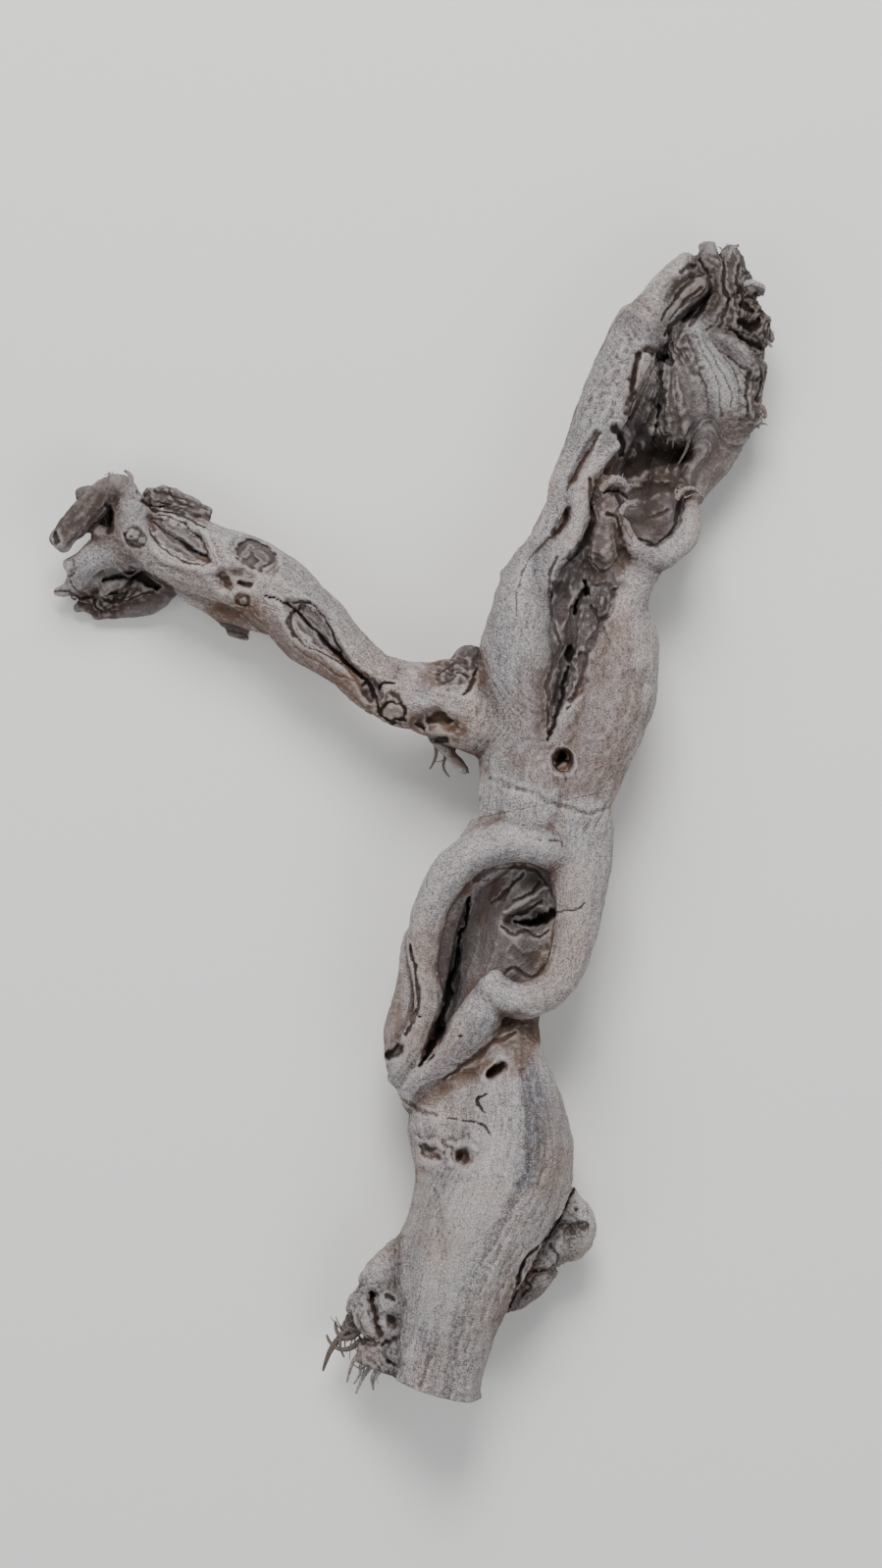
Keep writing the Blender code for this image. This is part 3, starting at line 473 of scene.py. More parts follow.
# The rings, holes, splits and inserts in the side arm.
ARM_STROKES = {
    "eye_recess": (
        [(77, 266, 2.4), (83, 270, 5.4), (91, 275, 6.6), (99, 281, 5), (107, 287, 1.2)],
        2.0, 0.0, 1.2,
    ),
    "eye_line": (
        [(79, 262.8, 0.4), (84, 262.6, 0.5), (93.9, 267.2, 0.5), (101, 274.5, 0.5),
         (106, 283, 0.5)],
        1.4, 0.6, 0.5,
    ),
    "eye_line_low": (
        [(75.4, 267, 0.6), (77.6, 272.6, 0.6), (83, 279.6, 0.5), (90, 284.7, 0.6), (98, 288, 0.5),
         (105.5, 288, 0.4)],
        1.4, 0.6, 0.5,
    ),
    "eye_middle": (
        [(77.4, 266.2, 0.4), (86.1, 272, 0.4), (92, 276, 0.7), (95.5, 278.7, 1.3),
         (98.8, 281, 0.8), (105.6, 284.4, 0.4)],
        2.0, 0.75, 0.6,
    ),
    "eye_rim": ([(82, 259.5, 1.2), (96, 263.5, 1.5), (107.5, 277, 1.4), (112, 288, 1)], -1, 0.0),
    "eye_rim_low": ([(73, 271, 1.2), (82, 284.5, 1.5), (95, 290, 1.4), (109, 291, 1)], -1, 0.0),
    "eye_lens": (
        [(84, 267, 1.8), (91, 270.8, 2.4), (98, 276.5, 2.1), (103, 282, 1)],
        -1.8, 0.0, 1.2,
    ),
    "eye_lens_low": (
        [(80, 271, 1.6), (86, 277, 2.3), (93, 281.8, 2.1), (100, 285, 1)],
        -1.8, 0.0, 1.2,
    ),
    "round_ring": ([(127, 281.5, 6), (132, 285, 6)], 2.4, 0.1, 1.2),
    "round_heart": ([(124.5, 283, 2), (127.5, 279.5, 1.6)], -1.8, 0.0, 1.1),
    "round_line": ([(131, 281, 1.7), (135, 285.5, 1.9), (131.5, 289, 1.4)], -1.9, 0.0, 1.1),
    "round_rim": (
        [(118.5, 280, 1), (123, 273.5, 1.2), (132, 272.5, 1.2), (140, 278, 1.2), (142.5, 287, 1.1),
         (137, 295, 1)],
        -1, 0.0,
    ),
    "twin_hole": ([(122, 297, 1.1), (127.5, 298.5, 1.8)], 3.4, 0.45),
    "twin_hole_left": ([(113, 293, 2), (117, 299, 3)], 2.2, 0.15, 1.4),
    "small_ring": ([(123.4, 305.5, 2.9), (125.4, 306, 2.6)], 1.4, 0.25, 0.9),
    "small_ring_heart": ([(124.4, 305.7, 1.4)], -1.8, -0.5, 1),
    "split": (
        [(135.8, 303.7, 0.4), (141.6, 306.1, 0.5), (147.8, 308.8, 0.6), (152.7, 312.8, 0.6),
         (160.2, 320.8, 0.7), (165.6, 328.3, 1), (171.8, 333.2, 1.1), (178, 339.4, 0.8),
         (186.9, 347.4, 0.6)],
        3, 0.8, 0.6,
    ),
    "split_upper": (
        [(151, 311, 2), (156, 315, 5.4), (162, 321, 6), (168, 328.5, 3.6), (174, 336, 1)],
        1.8, 0.05, 1.0,
    ),
    "split_lens": (
        [(157, 311, 1.6), (163, 317, 2.3), (168, 325, 1.6), (171, 330, 0.8)],
        -1.5, 0.0, 1.1,
    ),
    "split_lens_low": (
        [(151.5, 316.5, 1.6), (156, 323.5, 2.4), (163, 329, 1.6), (169, 333, 0.8)],
        -1.5, 0.0, 1.1,
    ),
    "split_rim": (
        [(153, 311, 0.5), (154, 308.4, 0.7), (157.6, 308.3, 0.6), (162.9, 311.9, 0.45),
         (168.2, 319.9, 0.45), (171.3, 326.1, 0.4), (174.4, 333, 0.4)],
        1.2, 0.65, 0.5,
    ),
    "split_rim_low": (
        [(151, 312, 0.6), (148, 313.4, 1.1), (147.4, 317, 1.1), (149, 321.5, 0.7),
         (155.8, 329.2, 0.5), (165.6, 333, 0.4), (174.4, 338.5, 0.4)],
        1.2, 0.65, 0.5,
    ),
    "split_top_gap": ([(150.4, 307, 0.7), (154, 306.9, 0.9), (158, 307.6, 0.6)], 1.4, 0.6, 0.5),
    "flank_line": (
        [(150, 330, 0.5), (160, 337, 0.6), (170, 342, 0.5), (180, 347.5, 0.4)],
        0.6, 0.15,
    ),
    "cluster_hole": (
        [(184, 350, 0.6), (187, 348.5, 0.9), (189.5, 352, 1.2), (191.3, 357, 0.8),
         (193.5, 361.5, 0.7)],
        2.4, 0.7, 0.6,
    ),
    "cluster_hole_right": (
        [(193.6, 352, 0.8), (194.4, 349.4, 0.8), (197, 347.9, 0.8), (201.5, 348.8, 0.5)],
        2.2, 0.75, 0.6,
    ),
    "cluster_hollow": ([(186.5, 353.5, 1.6), (188, 357, 1.6)], 1.8, 0.45),
    "cluster_hollow_right": ([(199.5, 353, 1.2), (203, 355.5, 1.7), (205, 358, 1)], 1.8, 0.55),
    "cluster_lump": ([(192.8, 346, 1.6), (190, 347, 1.4)], -1.6, 0.0, 1.1),
    "cluster_lump_low": ([(195.5, 352.5, 1.5), (194.5, 357.5, 1.6)], -1.8, -0.6, 1.1),
    "cluster_ring": ([(199.2, 362.6, 5.8), (202.6, 363.6, 5.6)], 2.4, 0.6, 1),
    "cluster_knob": ([(199.6, 362.6, 3.9), (202.2, 363.4, 3.8)], -4.2, -1.0, 1.2),
    "window": ([(219, 367, 1.7), (225, 366, 2.4), (230, 368, 1.8)], 3.5, 0.4),
    "window_left": ([(213, 369, 1.6), (216, 371, 1.4)], 3, 0.4),
    "window_bar": ([(217, 365, 0.9), (218, 372, 1)], -1.5, 0.0),
    "window_low": ([(221, 377, 1.3), (227, 377, 1.5)], 3, 0.85),
    "fork_gap": ([(243, 341, 0.7), (241.5, 347, 1.3), (239.5, 351, 1.1), (236, 355, 0.8)], 3.4, 0.5),
    "root_burl_line": ([(224, 344, 0.5), (231, 339, 0.7), (238, 338, 0.6)], 1.4, 0.35),
    "root_burl_line_low": ([(226, 349, 0.5), (233, 345, 0.7), (240, 345, 0.6)], 1.4, 0.3),
    "bud_ring": ([(67.6, 272.8, 4.3), (70.4, 275, 3.6)], 1.8, 0.25, 1),
    "bud_heart": ([(67.2, 272.4, 2.7)], -2.4, -0.6, 1.1),
    "bud_lump": ([(71.6, 275.4, 1.6)], -1.6, 0.0, 1),
    "bud_shadow": (
        [(63.4, 271, 0.7), (64, 276, 1), (68.5, 279, 1), (73, 278.4, 0.6)],
        1.6, 0.45, 0.8,
    ),
    "bud_pin": ([(66.6, 273, 0.7)], 1.6, 0.7),
    "knuckle_hollow": ([(55.5, 258.5, 1.2), (57, 263, 2), (56, 270, 1.7)], 3, 0.3),
    "top_seam": (
        [(72, 255, 0.8), (77, 258.4, 1.2), (82, 260, 0.9), (92, 262.6, 0.7), (104, 269, 0.5)],
        2.4, 0.7,
    ),
    "strip_line": ([(78, 250, 0.6), (86, 252, 0.7), (94, 253, 0.6)], 1.2, 0.4),
    "strip_fold": ([(84, 248, 0.5), (88, 255, 0.8), (96, 258, 0.7)], 1.6, 0.45),
    "horn_groove": (
        [(51, 295.5, 0.7), (56, 293.5, 1.3), (62, 292, 1.9), (68, 292, 2.2), (74, 295, 2),
         (79, 298.5, 1)],
        5, 0.6,
    ),
    "foot_hole": ([(54.6, 301.9, 0.9), (57.4, 301.3, 1.1)], 2.6, 0.85, 0.7),
    "foot_ring": (
        [(50.5, 304, 1), (54, 305.6, 0.9), (60, 304.6, 0.9), (63, 301, 0.7)],
        1.6, 0.5, 0.6,
    ),
    "foot_line": ([(46, 304.5, 0.8), (46.5, 308, 0.8), (50, 310, 0.6)], 1.8, 0.5),
    "foot_line_right": ([(64, 304.5, 0.7), (70, 303, 0.8), (77, 300.5, 0.6)], 1.6, 0.4),
    "horn_gap": ([(25, 299.5, 0.5), (31, 300.6, 0.8), (37, 303.5, 0.9), (45, 303, 0.6)], 1.6, 0.55),
    "horn_knob": ([(32.6, 288.6, 2.4)], -1.2, 0.0, 1),
    "horn_knob_rim": ([(36.5, 285.5, 0.5), (37, 290, 0.6), (34, 293.5, 0.6)], 1.0, 0.35, 0.6),
    "horn_fold": ([(34, 296, 0.6), (36.5, 300, 0.8), (42, 302.5, 0.7)], 1.2, 0.4),
    "cane_bore": ([(27.4, 272.5, 1.4), (28.6, 276.5, 1.9)], 2.6, 0.45, 1),
}

# The wood is one grown body. Its strands are fused and smoothed, hollows are pressed in, and the
# grain is laid along each strand before the wood is split at its two forks.
STRANDS = {**BUTT, **BURRS, **LOOP, **MIDDLE, **LIMB, **HEAD, **ARM}
STROKES = {**TRUNK_STROKES, **LIMB_STROKES, **ARM_STROKES}
# How dead the wood of each strand is, from live at 0 to rotten at 1.
DEAD_STRANDS = {
    "loop_heart": 0.8, "loop_heart_right": 0.8, "loop_heart_left": 1.0, "channel_heart": 0.9,
    "channel_knot": 0.6, "limb_back": 0.25, "lip": 0.5, "lip_fin": 0.3, "pocket": 0.9,
    "limb_floor": 1.0, "cavity_stub": 0.85, "cavity_mass": 1.0, "cavity_web": 1.0,
    "cavity_sweep": 0.1, "fan_left": 0.15, "fan_right": 0.2, "cavity_clump": 1.0,
    "cavity_brow": 0.4, "limb_wall": 0.8, "limb_right": 0.3, "head_notch": 0.6, "head_spur": 0.6,
    "head_knob": 0.6, "head_flute": 0.65, "head_crest": 0.5, "head_char": 1.0, "head_thorn": 0.5,
    "head_ridge": 0.5, "head_edge": 0.8, "arm_strip": 0.8, "arm_crumb": 0.8, "arm_peg": 1.0,
    "knuckle_floor": 1.0, "spur_lower": 0.7, "spur_ring": 0.5, "cane_stub": 0.55, "back_stub": 0.8,
    "burr_root": 0.9, "burr_fibres": 0.7, "burl_heel": 0.6, "spur_rib": 0.8, "spur_jag": 0.7,
    "arm_peg_tip": 1.0, "head_web": 0.7, "outer_rope": 0.15,
}
FUSE_VOXEL = 0.0012
SKIN_VOXEL = 0.00095
# In metres: how far strands blend, how far strokes fray, how high crumbs stand, over what depth
# dead wood begins, and the height under which the worn underside stays smooth.
STRAND_BLEND = 0.0018
FRAY = 0.0010
CRUMB_HEIGHT = 0.0013
DEAD_FADE = 0.004
WORN_HEIGHT = 0.0012
# Hollows pressed down into the upper side: a row of (across, down, half width), and a depth.
HOLLOWS = {
    "loop_slit": (
        [(239, 458, 1), (234, 480, 1.6), (230, 504, 2.6), (225, 522, 3.5), (216, 540, 1.5)],
        7,
    ),
    "loop_pit": ([(260, 470, 3), (268, 470, 6), (276, 469, 4)], 9),
    "limb_deep": ([(334, 226, 4), (342, 229, 6), (350, 230, 4)], 4),
    "limb_cleft": ([(336, 184, 2), (336, 200, 2), (335, 218, 2)], 4),
    "limb_groove": ([(304, 221, 1.4), (298, 232, 2.2), (291, 246, 1.8)], 3.5),
    "limb_scallop": ([(290, 260, 1.5), (287, 267, 3), (282, 272, 1.5)], 4),
    "channel_bowl": (
        [(301, 292, 8), (297, 306, 11), (291, 326, 9), (287, 346, 6), (281, 366, 2)],
        7,
    ),
    "channel_cleft": ([(299, 300, 2), (293, 312, 2.5), (289, 334, 3.5), (284, 358, 2)], 7),
    "knot_hole": ([(286, 386, 3.5), (286, 389, 4.5)], 9),
    "fold_hole": ([(249.5, 547, 2), (255.5, 542.5, 2.6)], 6),
    "butt_hole": ([(235.5, 588, 3.4), (237.5, 589, 3.4)], 4),
    "burr_holes": ([(190, 662, 3), (191, 675, 2.5), (199, 673, 5)], 5),
    "burl_hole": ([(293, 628, 2.4), (297, 627, 2.8)], 3),
    "arm_lens": ([(77, 264, 3), (84, 270, 7), (94, 277, 8), (106, 286, 2)], 6),
    "arm_round": ([(124, 279, 6), (132, 284, 7), (138, 290, 4)], 5),
    "arm_eyes": ([(115, 296, 5), (125, 295, 5)], 5),
    "arm_cleft": ([(148, 309, 3), (158, 318, 8), (167, 328, 5), (180, 342, 2), (190, 352, 5)], 7),
    "arm_window": ([(213, 369, 4), (222, 367, 5), (229, 369, 4)], 4.5),
}
# Sheltered dead wood: a row of (across, down, half width) and the height that it lies below.
DEAD_FLOORS = {
    "loop_floor": (
        [(273, 452, 11), (262, 470, 15), (258, 488, 12), (240, 478, 10), (231, 500, 8),
         (224, 524, 6)],
        56,
    ),
    "neck_floor": ([(262, 522, 5), (270, 530, 7)], 38),
    "channel_floor": ([(296, 292, 16), (296, 312, 15), (290, 335, 9), (284, 365, 5)], 56),
    "head_floor": (
        [(335, 180, 14), (335, 205, 16), (332, 230, 13), (334, 252, 13), (332, 268, 8)],
        47,
    ),
    "mass_floor": ([(350, 188, 8), (352, 206, 7)], 47),
    "head_top_floor": ([(362, 150, 12), (376, 152, 12)], 60),
    "burr_floor": ([(190, 662, 5), (192, 676, 6)], 38),
    "round_floor": ([(127, 281, 6), (132, 285, 6)], 99),
    "eye_floor": ([(83, 269, 4), (91, 275, 5.4), (100, 282, 3.5)], 99),
    "split_floor": ([(154, 312, 3), (161, 319, 6), (169, 329, 3)], 99),
    "cluster_floor": ([(187, 351, 4), (193, 356, 5)], 99),
    "root_floor": ([(226, 346, 5), (234, 342, 6), (241, 338, 4)], 99),
}
# Bands of blue-grey weathering, and painted shade on the limb's left sides: a row of (across, down, half
# width) and a strength.
BLUE_BANDS = {
    "butt_band": ([(267, 538, 4), (272, 558, 6.5), (272, 580, 6.5), (266, 598, 6)], 1.0),
    "butt_band_low": (
        [(260, 608, 5), (242, 636, 8), (231, 662, 10), (231, 684, 10), (227, 713, 10)],
        0.38,
    ),
    "butt_band_left": ([(214, 660, 3), (219, 690, 3)], 0.4),
    "waist_band": ([(250, 410, 6), (256, 440, 5), (240, 455, 4)], 0.3),
    "fold_band": ([(250, 520, 6), (232, 540, 6), (214, 556, 5)], 0.55),
    "rope_band": ([(300, 420, 5), (301, 450, 5)], 0.3),
    "limb_band": ([(262, 335, 6), (262, 365, 6), (262, 390, 6)], 0.4),
    # Painted shade: these two bands darken the left-facing sides of the limb and of its lobe.
    "limb_side": ([(294, 228, 9), (304, 202, 11), (320, 170, 10)], 0.5),
    "lobe_side": ([(256, 320, 9), (254, 355, 9)], 0.45),
    "upper_band": ([(288, 250, 5), (283, 270, 6), (275, 290, 5)], 0.5),
    "lobe_band": ([(298, 385, 6), (300, 400, 6)], 0.35),
    "fan_band": ([(352, 170, 7), (362, 188, 11), (372, 205, 11)], 0.55),
    "hook_band": ([(350, 262, 5), (340, 280, 5)], 0.2),
    "arm_band": ([(120, 278, 4), (150, 292, 5), (175, 318, 5), (200, 342, 4)], 0.3),
    "spur_band": ([(50, 284, 7), (41, 291, 7), (36, 298, 5)], 0.45),
    "head_top_band": ([(362, 134, 8), (374, 140, 9), (382, 156, 8)], 0.5),
    "cup_band": ([(332, 262, 9)], 0.4),
}
# Where the skin is crumbly.
ROUGH_PATCHES = {
    "limb_scab": ([(322, 178, 7), (312, 196, 9), (302, 216, 8)], 0.7),
    "head_skin": ([(338, 150, 6), (328, 164, 6)], 0.4),
    "burr": ([(184, 664, 12), (192, 690, 12)], 1.0),
    "burl": ([(292, 620, 8), (288, 636, 9), (268, 654, 8)], 1.0),
    "arm_root": ([(228, 346, 7), (238, 340, 7)], 1.6),
    "arm_top": ([(74, 251, 5), (90, 254, 6), (104, 262, 4)], 1.3),
    "arm_tip": ([(70, 301, 6), (52, 307, 6), (38, 307, 4)], 0.8),
    "arm_knots": ([(116, 294, 7), (124, 306, 6)], 0.6),
    "cluster": ([(190, 354, 8), (200, 364, 8)], 0.7),
    "char": ([(382, 155, 14), (384, 170, 12)], 1.3),
    "crown": ([(366, 128, 12)], 0.8),
    "mass": ([(338, 190, 10), (342, 215, 12)], 0.9),
    "flake": ([(306, 250, 8), (308, 275, 9)], 0.4),
    "clump": ([(348, 174, 6), (354, 190, 6)], 1.2),
    "channel": ([(298, 295, 14), (300, 315, 12), (290, 345, 8)], 0.7),
    "fan_edge": ([(382, 192, 6), (384, 212, 7)], 1.0),
}
# Where the wood is darkest: dark rotten and charred wood at the head, the cane and the arm's tip,
# and painted shade in the deep hollow, the cup, the voids and the creases between ropes and folds.
DARK_TONE_AND_SHADE_PATCHES = {
    "head_top": ([(346, 150, 7), (354, 144, 8), (362, 150, 9), (372, 150, 10)], 0.95),
    "crown": ([(362, 136, 8), (374, 136, 8)], 0.75),
    "fan_low": ([(352, 192, 6), (360, 208, 8), (374, 214, 8)], 0.3),
    "heart": ([(262, 452, 12), (264, 468, 14), (262, 488, 12)], 0.2),
    "left_band": ([(238, 462, 5), (229, 485, 6), (225, 508, 6), (220, 530, 5)], 0.55),
    "brown_fold": ([(276, 345, 4), (275, 372, 4)], 0.3),
    "burr": ([(186, 668, 9), (194, 690, 9)], 0.2),
    "flank": ([(374, 220, 7), (364, 238, 6)], 0.3),
    "rot": ([(379, 153, 10), (386, 166, 9), (372, 166, 6)], 1.15),
    "mass": ([(328, 208, 7), (344, 214, 8)], 0.6),
    "deep": ([(320, 234, 4), (334, 232, 9), (347, 233, 9)], 1.0),
    "deep_low": ([(322, 244, 4), (332, 243, 7), (344, 244, 7)], 1.0),
    "cup": ([(332, 248, 11), (332, 264, 8)], 0.85),
    "clump": ([(346, 173, 5), (354, 190, 5)], 0.4),
    "void": ([(324, 188, 3), (321, 206, 4)], 0.5),
    "channel": ([(296, 300, 11), (292, 330, 8), (286, 360, 5)], 0.3),
    "cane": ([(50, 256, 9), (34, 270, 9)], 0.9),
    "arm_tip": ([(76, 298, 7), (62, 303, 8), (50, 309, 6), (36, 308, 5)], 0.95),
    "arm_side": ([(110, 300, 5), (92, 294, 5)], 0.2),
    "arm_hollow": ([(54, 295, 2), (66, 292.5, 3.4), (77, 297.5, 2)], 0.7),
    "back_stub": ([(38, 250, 5)], 0.7),
    "arm_strip": ([(76, 252, 6), (96, 257, 6)], 0.45),
    "root_tangle": ([(180, 684, 8)], 0.5),
    "fold": ([(242, 524, 7), (224, 545, 7)], 0.3),
    "neck": ([(262, 524, 9)], 0.55),
    "blue_low": ([(272, 560, 7), (270, 590, 6)], 0.2),
    "fan_edge": ([(386, 188, 4), (385, 210, 5)], 0.6),
    "wall": ([(358, 232, 6), (350, 250, 5)], 0.5),
    "root_burl": ([(230, 342, 9)], 0.35),
    "flake_floor": ([(306, 262, 7), (304, 285, 7)], 0.3),
}
# Where the wood is brown or tan: sheltered wood that has stayed so, and painted shade under the arm,
# on the lobes' lower flanks, at the neck and along the fold's edge.
BROWN_PATCHES = {
    "waist_tan": ([(268, 388, 9), (290, 398, 9), (308, 392, 9)], 0.55),
    "lobe_inner": ([(270, 340, 8), (270, 372, 10)], 0.35),
    "lobe_tan": ([(314, 325, 12), (308, 355, 13), (300, 382, 13)], 0.5),
    "trunk_tan": ([(214, 600, 8), (222, 625, 10)], 0.3),
    "butt_tan": ([(282, 570, 8), (276, 600, 8)], 0.3),
    "rope_tan": ([(216, 480, 7), (218, 510, 6), (208, 540, 6)], 0.3),
    "flank_brown": ([(374, 220, 8), (362, 240, 7)], 0.6),
    "neck_shade": ([(260, 520, 6), (268, 532, 8), (262, 545, 5)], 0.9),
    "fold_edge": ([(248, 541, 4), (230, 553, 4), (214, 562, 4)], 0.75),
    "lobe_flank": ([(308, 385, 9), (318, 365, 8), (322, 345, 6)], 0.65),
    "fold_brown": ([(276, 345, 5), (275, 375, 5)], 0.7),
    "knot_brown": ([(268, 385, 9), (284, 388, 6)], 0.45),
    "flake_brown": ([(306, 250, 8), (309, 270, 9), (305, 290, 6)], 0.8),
    "arm_under": ([(232, 372, 8), (205, 366, 7), (180, 350, 7), (155, 335, 7), (125, 310, 7)], 0.85),
    "arm_tip_brown": ([(58, 262, 6), (58, 272, 7), (64, 282, 7)], 0.55),
    "arm_strip_brown": ([(76, 252, 6), (90, 255, 6), (104, 263, 5)], 0.6),
    "arm_spur_brown": ([(78, 299, 6), (60, 304, 8), (40, 308, 6)], 0.8),
    "arm_peg_brown": ([(112, 314, 7), (124, 322, 6)], 1.0),
    "cane_brown": ([(54, 250, 7), (40, 264, 8)], 0.5),
    "burl_brown": ([(272, 648, 7), (262, 657, 6)], 0.4),
    "burr_brown": ([(182, 682, 10), (188, 700, 8)], 0.6),
    "rope_brown": ([(203, 500, 4), (198, 530, 5)], 0.6),
    "butt_brown": ([(262, 650, 4), (254, 680, 4)], 0.5),
    "burl_root_brown": ([(232, 338, 8), (222, 345, 7)], 0.8),
}
# Where the wood is palest: worn knobs, ledges and tips, and painted light on the burl and the butt.
PALE_PATCHES = {
    "cluster_knob": ([(200, 362.8, 2.6), (202, 363.3, 2.5)], 2.0),
    "head_knob": ([(363, 126, 4)], 0.8),
    "spur_tip": ([(28, 296, 2)], 1.0),
    "ledge": ([(382, 145, 3), (389, 147, 3)], 1.0),
    "blob": ([(330, 190, 4)], 0.6),
    # Painted light: the burl patch, and the butt patch two lines down.
    "burl": ([(292, 616, 7), (294, 634, 7), (284, 644, 6)], 0.7),
    "hook": ([(350, 268, 5), (338, 282, 5)], 0.3),
    "butt": ([(250, 590, 14), (234, 630, 13), (222, 665, 10)], 0.8),
    "butt_left": ([(216, 590, 8), (216, 620, 7)], 0.5),
    "fan": ([(358, 180, 7), (368, 198, 8)], 0.35),
    "waist": ([(262, 425, 10), (292, 435, 10), (296, 470, 8)], 0.35),
    "torn_edge": ([(62, 248, 3), (60, 243, 3)], 0.8),
}


def place(across, down, height):
    """A drawn point in metres."""
    return Vector((across - DRAWN_MIDDLE[0], DRAWN_MIDDLE[1] - down, height)) * MILLIMETRE


# A strand's bevelled end reaches past its last point, and is narrower, by these shares of a radius.
TIP_REACH = 0.3
TIP_RADIUS = 0.65


def strand_mesh(points, roundness=6):
    """A tapering round strand through the points, with bevelled ends, as a closed mesh."""
    ends = []
    for (*tip, radius), (*inner, _) in ((points[0], points[1]), (points[-1], points[-2])):
        reach = Vector(tip) - Vector(inner)
        ends.append((*(Vector(tip) + reach.normalized() * TIP_REACH * radius), TIP_RADIUS * radius))
    points = [ends[0], *points, ends[1]]
    curve = bpy.data.curves.new("strand", "CURVE")
    curve.dimensions = "3D"
    curve.bevel_depth = MILLIMETRE
    curve.bevel_resolution = roundness
    curve.resolution_u = 8
    curve.use_fill_caps = True
    spline = curve.splines.new("BEZIER")
    spline.bezier_points.add(len(points) - 1)
    for knot, (across, down, height, radius) in zip(spline.bezier_points, points):
        knot.co = place(across, down, height)
        knot.radius = radius
        knot.handle_left_type = "AUTO"
        knot.handle_right_type = "AUTO"
    guide = bpy.data.objects.new("strand", curve)
    bpy.context.scene.collection.objects.link(guide)
    bpy.context.view_layer.update()
    mesh = bpy.data.meshes.new_from_object(guide.evaluated_get(bpy.context.evaluated_depsgraph_get()))
    bpy.data.objects.remove(guide)
    return mesh


def applied(obj, kind, **settings):
    """Adds one modifier to the object and applies it."""
    modifier = obj.modifiers.new(kind.title(), kind)
    for key, value in settings.items():
        setattr(modifier, key, value)
    bpy.context.view_layer.update()
    mesh = bpy.data.meshes.new_from_object(obj.evaluated_get(bpy.context.evaluated_depsgraph_get()))
    obj.modifiers.clear()
    obj.data = mesh


def keep_outer_skin(obj):
    """Removes loose crumbs and the skins of sealed hollows, which leaves the largest skin."""
    form = bmesh.new()
    form.from_mesh(obj.data)
    unseen = set(form.verts)
    skins = []
    while unseen:
        start = unseen.pop()
        skin, edge = [start], [start]
        while edge:
            for link in edge.pop().link_edges:
                for vertex in link.verts:
                    if vertex in unseen:
                        unseen.discard(vertex)
                        skin.append(vertex)
                        edge.append(vertex)
        skins.append(skin)
    skins.sort(key=len)
    crumbs = [vertex for skin in skins[:-1] for vertex in skin]
    bmesh.ops.delete(form, geom=crumbs, context="VERTS")
    form.to_mesh(obj.data)
    form.free()


def points_of(mesh):
    """The mesh's points as an array of rows."""
    flat = np.empty(len(mesh.vertices) * 3, np.float32)
    mesh.vertices.foreach_get("co", flat)
    return flat.reshape(-1, 3).astype(float)


def normals_of(mesh):
    """The mesh's point normals as an array of rows."""
    flat = np.empty(len(mesh.vertices) * 3, np.float32)
    mesh.vertices.foreach_get("normal", flat)
    return flat.reshape(-1, 3).astype(float)


def move_points(mesh, points):
    """Puts the mesh's points at the rows of an array."""
    mesh.vertices.foreach_set("co", points.astype(np.float32).ravel())
    mesh.update()


def rounded(row):
    """The row with its corners rounded, as a curve through the same points."""
    knots = np.array(row if len(row) > 1 else row * 2, float)
    padded = np.vstack([2 * knots[0] - knots[1], knots, 2 * knots[-1] - knots[-2]])
    steps = np.linspace(0, 1, 5)[:-1, None]
    curve = [
        0.5 * (2 * b + (c - a) * steps + (2 * a - 5 * b + 4 * c - d) * steps**2
               + (3 * b - a - 3 * c + d) * steps**3)
        for a, b, c, d in zip(padded[:-3], padded[1:-2], padded[2:-1], padded[3:])
    ]
    return np.vstack([*curve, knots[-1:]])


def nearness(points, row, swell=1.0, edge=99.0):
    """How near each point is to the middle of a stroke seen from above: 1 on it, 0 at its rim. The
    rim is as wide as the stroke's half width, or no wider than the given edge in millimetres."""
    near = np.zeros(len(points))
    row = rounded(row)
    swell = np.broadcast_to(swell, len(points))
    reach = 2.2 * row[:, 2].max() * MILLIMETRE
    flat = np.array([place(across, down, 0)[:2] for across, down, _ in row])
    inside = np.flatnonzero(
        ((points[:, :2] > flat.min(0) - reach) & (points[:, :2] < flat.max(0) + reach)).all(1)
    )
    spots, swell = points[inside, :2], swell[inside]
    best = np.zeros(len(inside))
    for index in range(len(row) - 1):
        start, line = flat[index], flat[index + 1] - flat[index]
        share = np.clip((spots - start) @ line / max(line @ line, 1e-12), 0, 1)
        off = np.linalg.norm(spots - start - share[:, None] * line, axis=1)
        width = (row[index][2] + share * (row[index + 1][2] - row[index][2])) * MILLIMETRE
        width = width * swell
        rim = np.minimum(width, edge * MILLIMETRE)
        best = np.maximum(best, np.clip(0.5 + (width - off) / rim, 0, 1))
    near[inside] = best * best * (3 - 2 * best)
    return near


DICE = np.random.default_rng(11).random(65536) * 2 - 1


def noise(points):
    """Smooth seeded noise from -1 to 1 at each row, one lump to a unit."""
    cell = np.floor(points).astype(np.int64)
    part = points - cell
    part = part * part * (3 - 2 * part)
    total = np.zeros(len(points))
    for corner in np.ndindex(2, 2, 2):
        at = cell + np.array(corner)
        roll = DICE[(at[:, 0] * 73856093 ^ at[:, 1] * 19349663 ^ at[:, 2] * 83492791) & 65535]
        total += roll * np.where(corner, part, 1 - part).prod(1)
    return total


form = bmesh.new()
for row in STRANDS.values():
    form.from_mesh(strand_mesh(row))
bmesh.ops.remove_doubles(form, verts=form.verts, dist=1e-6)
joined = bpy.data.meshes.new("wood")
form.to_mesh(joined)
form.free()
wood = bpy.data.objects.new("wood", joined)
bpy.context.scene.collection.objects.link(wood)
applied(wood, "REMESH", mode="VOXEL", voxel_size=FUSE_VOXEL)
keep_outer_skin(wood)
applied(wood, "SMOOTH", factor=0.5, iterations=5)

